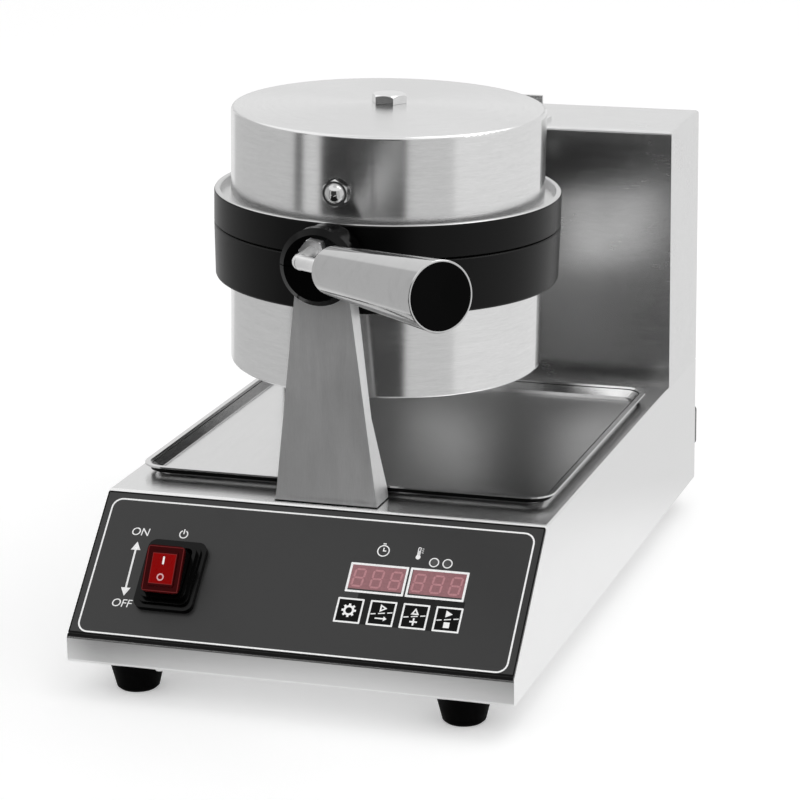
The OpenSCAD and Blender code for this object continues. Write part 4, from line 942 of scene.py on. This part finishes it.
def startMark(mesh, x, y):
    rise, drop, tip, back, half, stop = art("start", "rise", "drop", "tip", "back", "half", "stop")
    flatShape(mesh, ((tip, 0), (-back, half), (-back, -half)), (x, y + rise))
    dashes(mesh, x, y)
    flatOutline(mesh, stop, stop, at=(x, y - drop))


def makeRockerMarks():
    on, off, face = rockerLook["on"], rockerLook["off"], rockerLook["face"] * mm
    mark = bmesh.new()
    flatOutline(mark, on["width"] * mm, on["height"] * mm, on["corner"] * mm, at=[a * mm for a in on["at"]], rounds=2)
    finishPrint("rockerOn", mark, finishes["whiteInk"], "power_rocker", face, rockerFrame)
    mark = bmesh.new()
    flatRing(mark, off["radius"] * mm, off["line"] * mm, [a * mm for a in off["at"]], 40)
    finishPrint("rockerOff", mark, finishes["pinkInk"], "power_rocker", face, rockerFrame)


postSeatAndTrayShadow = {
    "seat": 0.35,
    "seatHigh": 0.5,
    # the entries below size a black band under the tray's rim, a painted shadow
    "shadowBand": 1.4,
    "shadowInset": 3.0,
    "shadowHeight": (2.1, 5.2),
    "shadowCorner": 12.0,
}


def makePostSeatAndTrayShadow():
    # a thin black block round the post's foot, a dark line where it meets the deck; and a black band under the tray's
    # rim, a painted shadow
    low, high = (Vector(corner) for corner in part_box("front_post"))
    edge, top = postSeatAndTrayShadow["seat"] * mm, low.z + postSeatAndTrayShadow["seatHigh"] * mm
    seat = bmesh.new()
    makeBlock(seat, (low.x - edge, low.y - edge, low.z), (high.x + edge, high.y + edge, top))
    finishPiece("postSeat", seat, finishes["keyFilm"], "base")
    low, high = (Vector(corner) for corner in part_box("drip_tray"))
    inset, corner, line = (postSeatAndTrayShadow[key] * mm for key in ("shadowInset", "shadowCorner", "shadowBand"))
    foot, top = (a * mm for a in postSeatAndTrayShadow["shadowHeight"])
    # a black band under the tray's rim: painted shadow
    shadowBand = bmesh.new()
    flatOutline(shadowBand, high.x - low.x - 2 * inset, high.y - low.y - 2 * inset, corner, line)
    bmesh.ops.recalc_face_normals(shadowBand, faces=shadowBand.faces)
    bmesh.ops.solidify(shadowBand, geom=shadowBand.faces, thickness=top - foot)
    lift = low.z + foot - min(v.co.z for v in shadowBand.verts)
    bmesh.ops.translate(shadowBand, vec=((low.x + high.x) / 2, (low.y + high.y) / 2, lift), verts=shadowBand.verts)
    finishPiece("trayShadowBand", shadowBand, finishes["keyFilm"], "tray")


lipScrew = {"x": -77.0, "y": 6.5, "head": 3.0, "height": 1.8, "edge": 0.6}


def makeLipScrew():
    # pan head under the front return flange
    head = bmesh.new()
    radius = lipScrew["head"] * mm
    bmesh.ops.create_cone(head, cap_ends=True, segments=32, radius1=radius, radius2=radius,
                          depth=lipScrew["height"] * mm)
    rim = [e for e in head.edges if all(v.co.z < 0 for v in e.verts)]
    bmesh.ops.bevel(head, geom=rim, offset=lipScrew["edge"] * mm, segments=3, profile=0.5, affect="EDGES",
                    material=-1)
    place = (lipScrew["x"] * mm, baseLow.y + lipScrew["y"] * mm, baseLow.z - lipScrew["height"] * mm / 2)
    bmesh.ops.translate(head, vec=place, verts=head.verts)
    finishPiece("lipScrew", head, finishes["zinc"], "base", smooth=30)


digit = {"height": 10.4, "width": 5.6, "line": 1.15, "lean": 0.10, "pitch": 10.6, "gap": 0.16}


def makeDigits():
    # three figures of seven bars behind each window's film
    bars = bmesh.new()
    half, w, line = digit["height"] / 2, digit["width"] / 2, digit["line"]
    middle = legend["windowFrame"]["s"] * mm
    level = [(0, y, w, 0) for y in (half, 0, -half)]
    upright = [(x, y, half / 2, 1) for y in (half / 2, -half / 2) for x in (-w, w)]
    for centre in legend["windowFrame"]["xs"]:
        for place in (-1, 0, 1):
            for x, y, length, turned in level + upright:
                reach, part = length - digit["gap"], line / 2
                bar = ((-reach, 0), (-reach + part, part), (reach - part, part), (reach, 0),
                       (reach - part, -part), (-reach + part, -part))
                shape = flatShape(bars, [(a * mm, b * mm) for a, b in bar], turn=turned * math.pi / 2)
                bmesh.ops.translate(bars, vec=(x * mm, y * mm, 0), verts=shape)
                for v in shape:
                    v.co.x += v.co.y * digit["lean"] + (centre + place * digit["pitch"]) * mm
                    v.co.y += middle
    finishPrint("displayDigits", bars, finishes["digitRed"], "base", panel["face"])


# run
makeCamera()
makeFinishes()
dressNodes()
makeFloor()
makeRoom()
makeLamps()
print("stage and finishes made")
makeLegend()
makeFilmEdge()
makeKeyPrints()
makeRockerMarks()
makeDigits()
print("panel printed")
makeLipScrew()
makePostSeatAndTrayShadow()
print("fittings made")
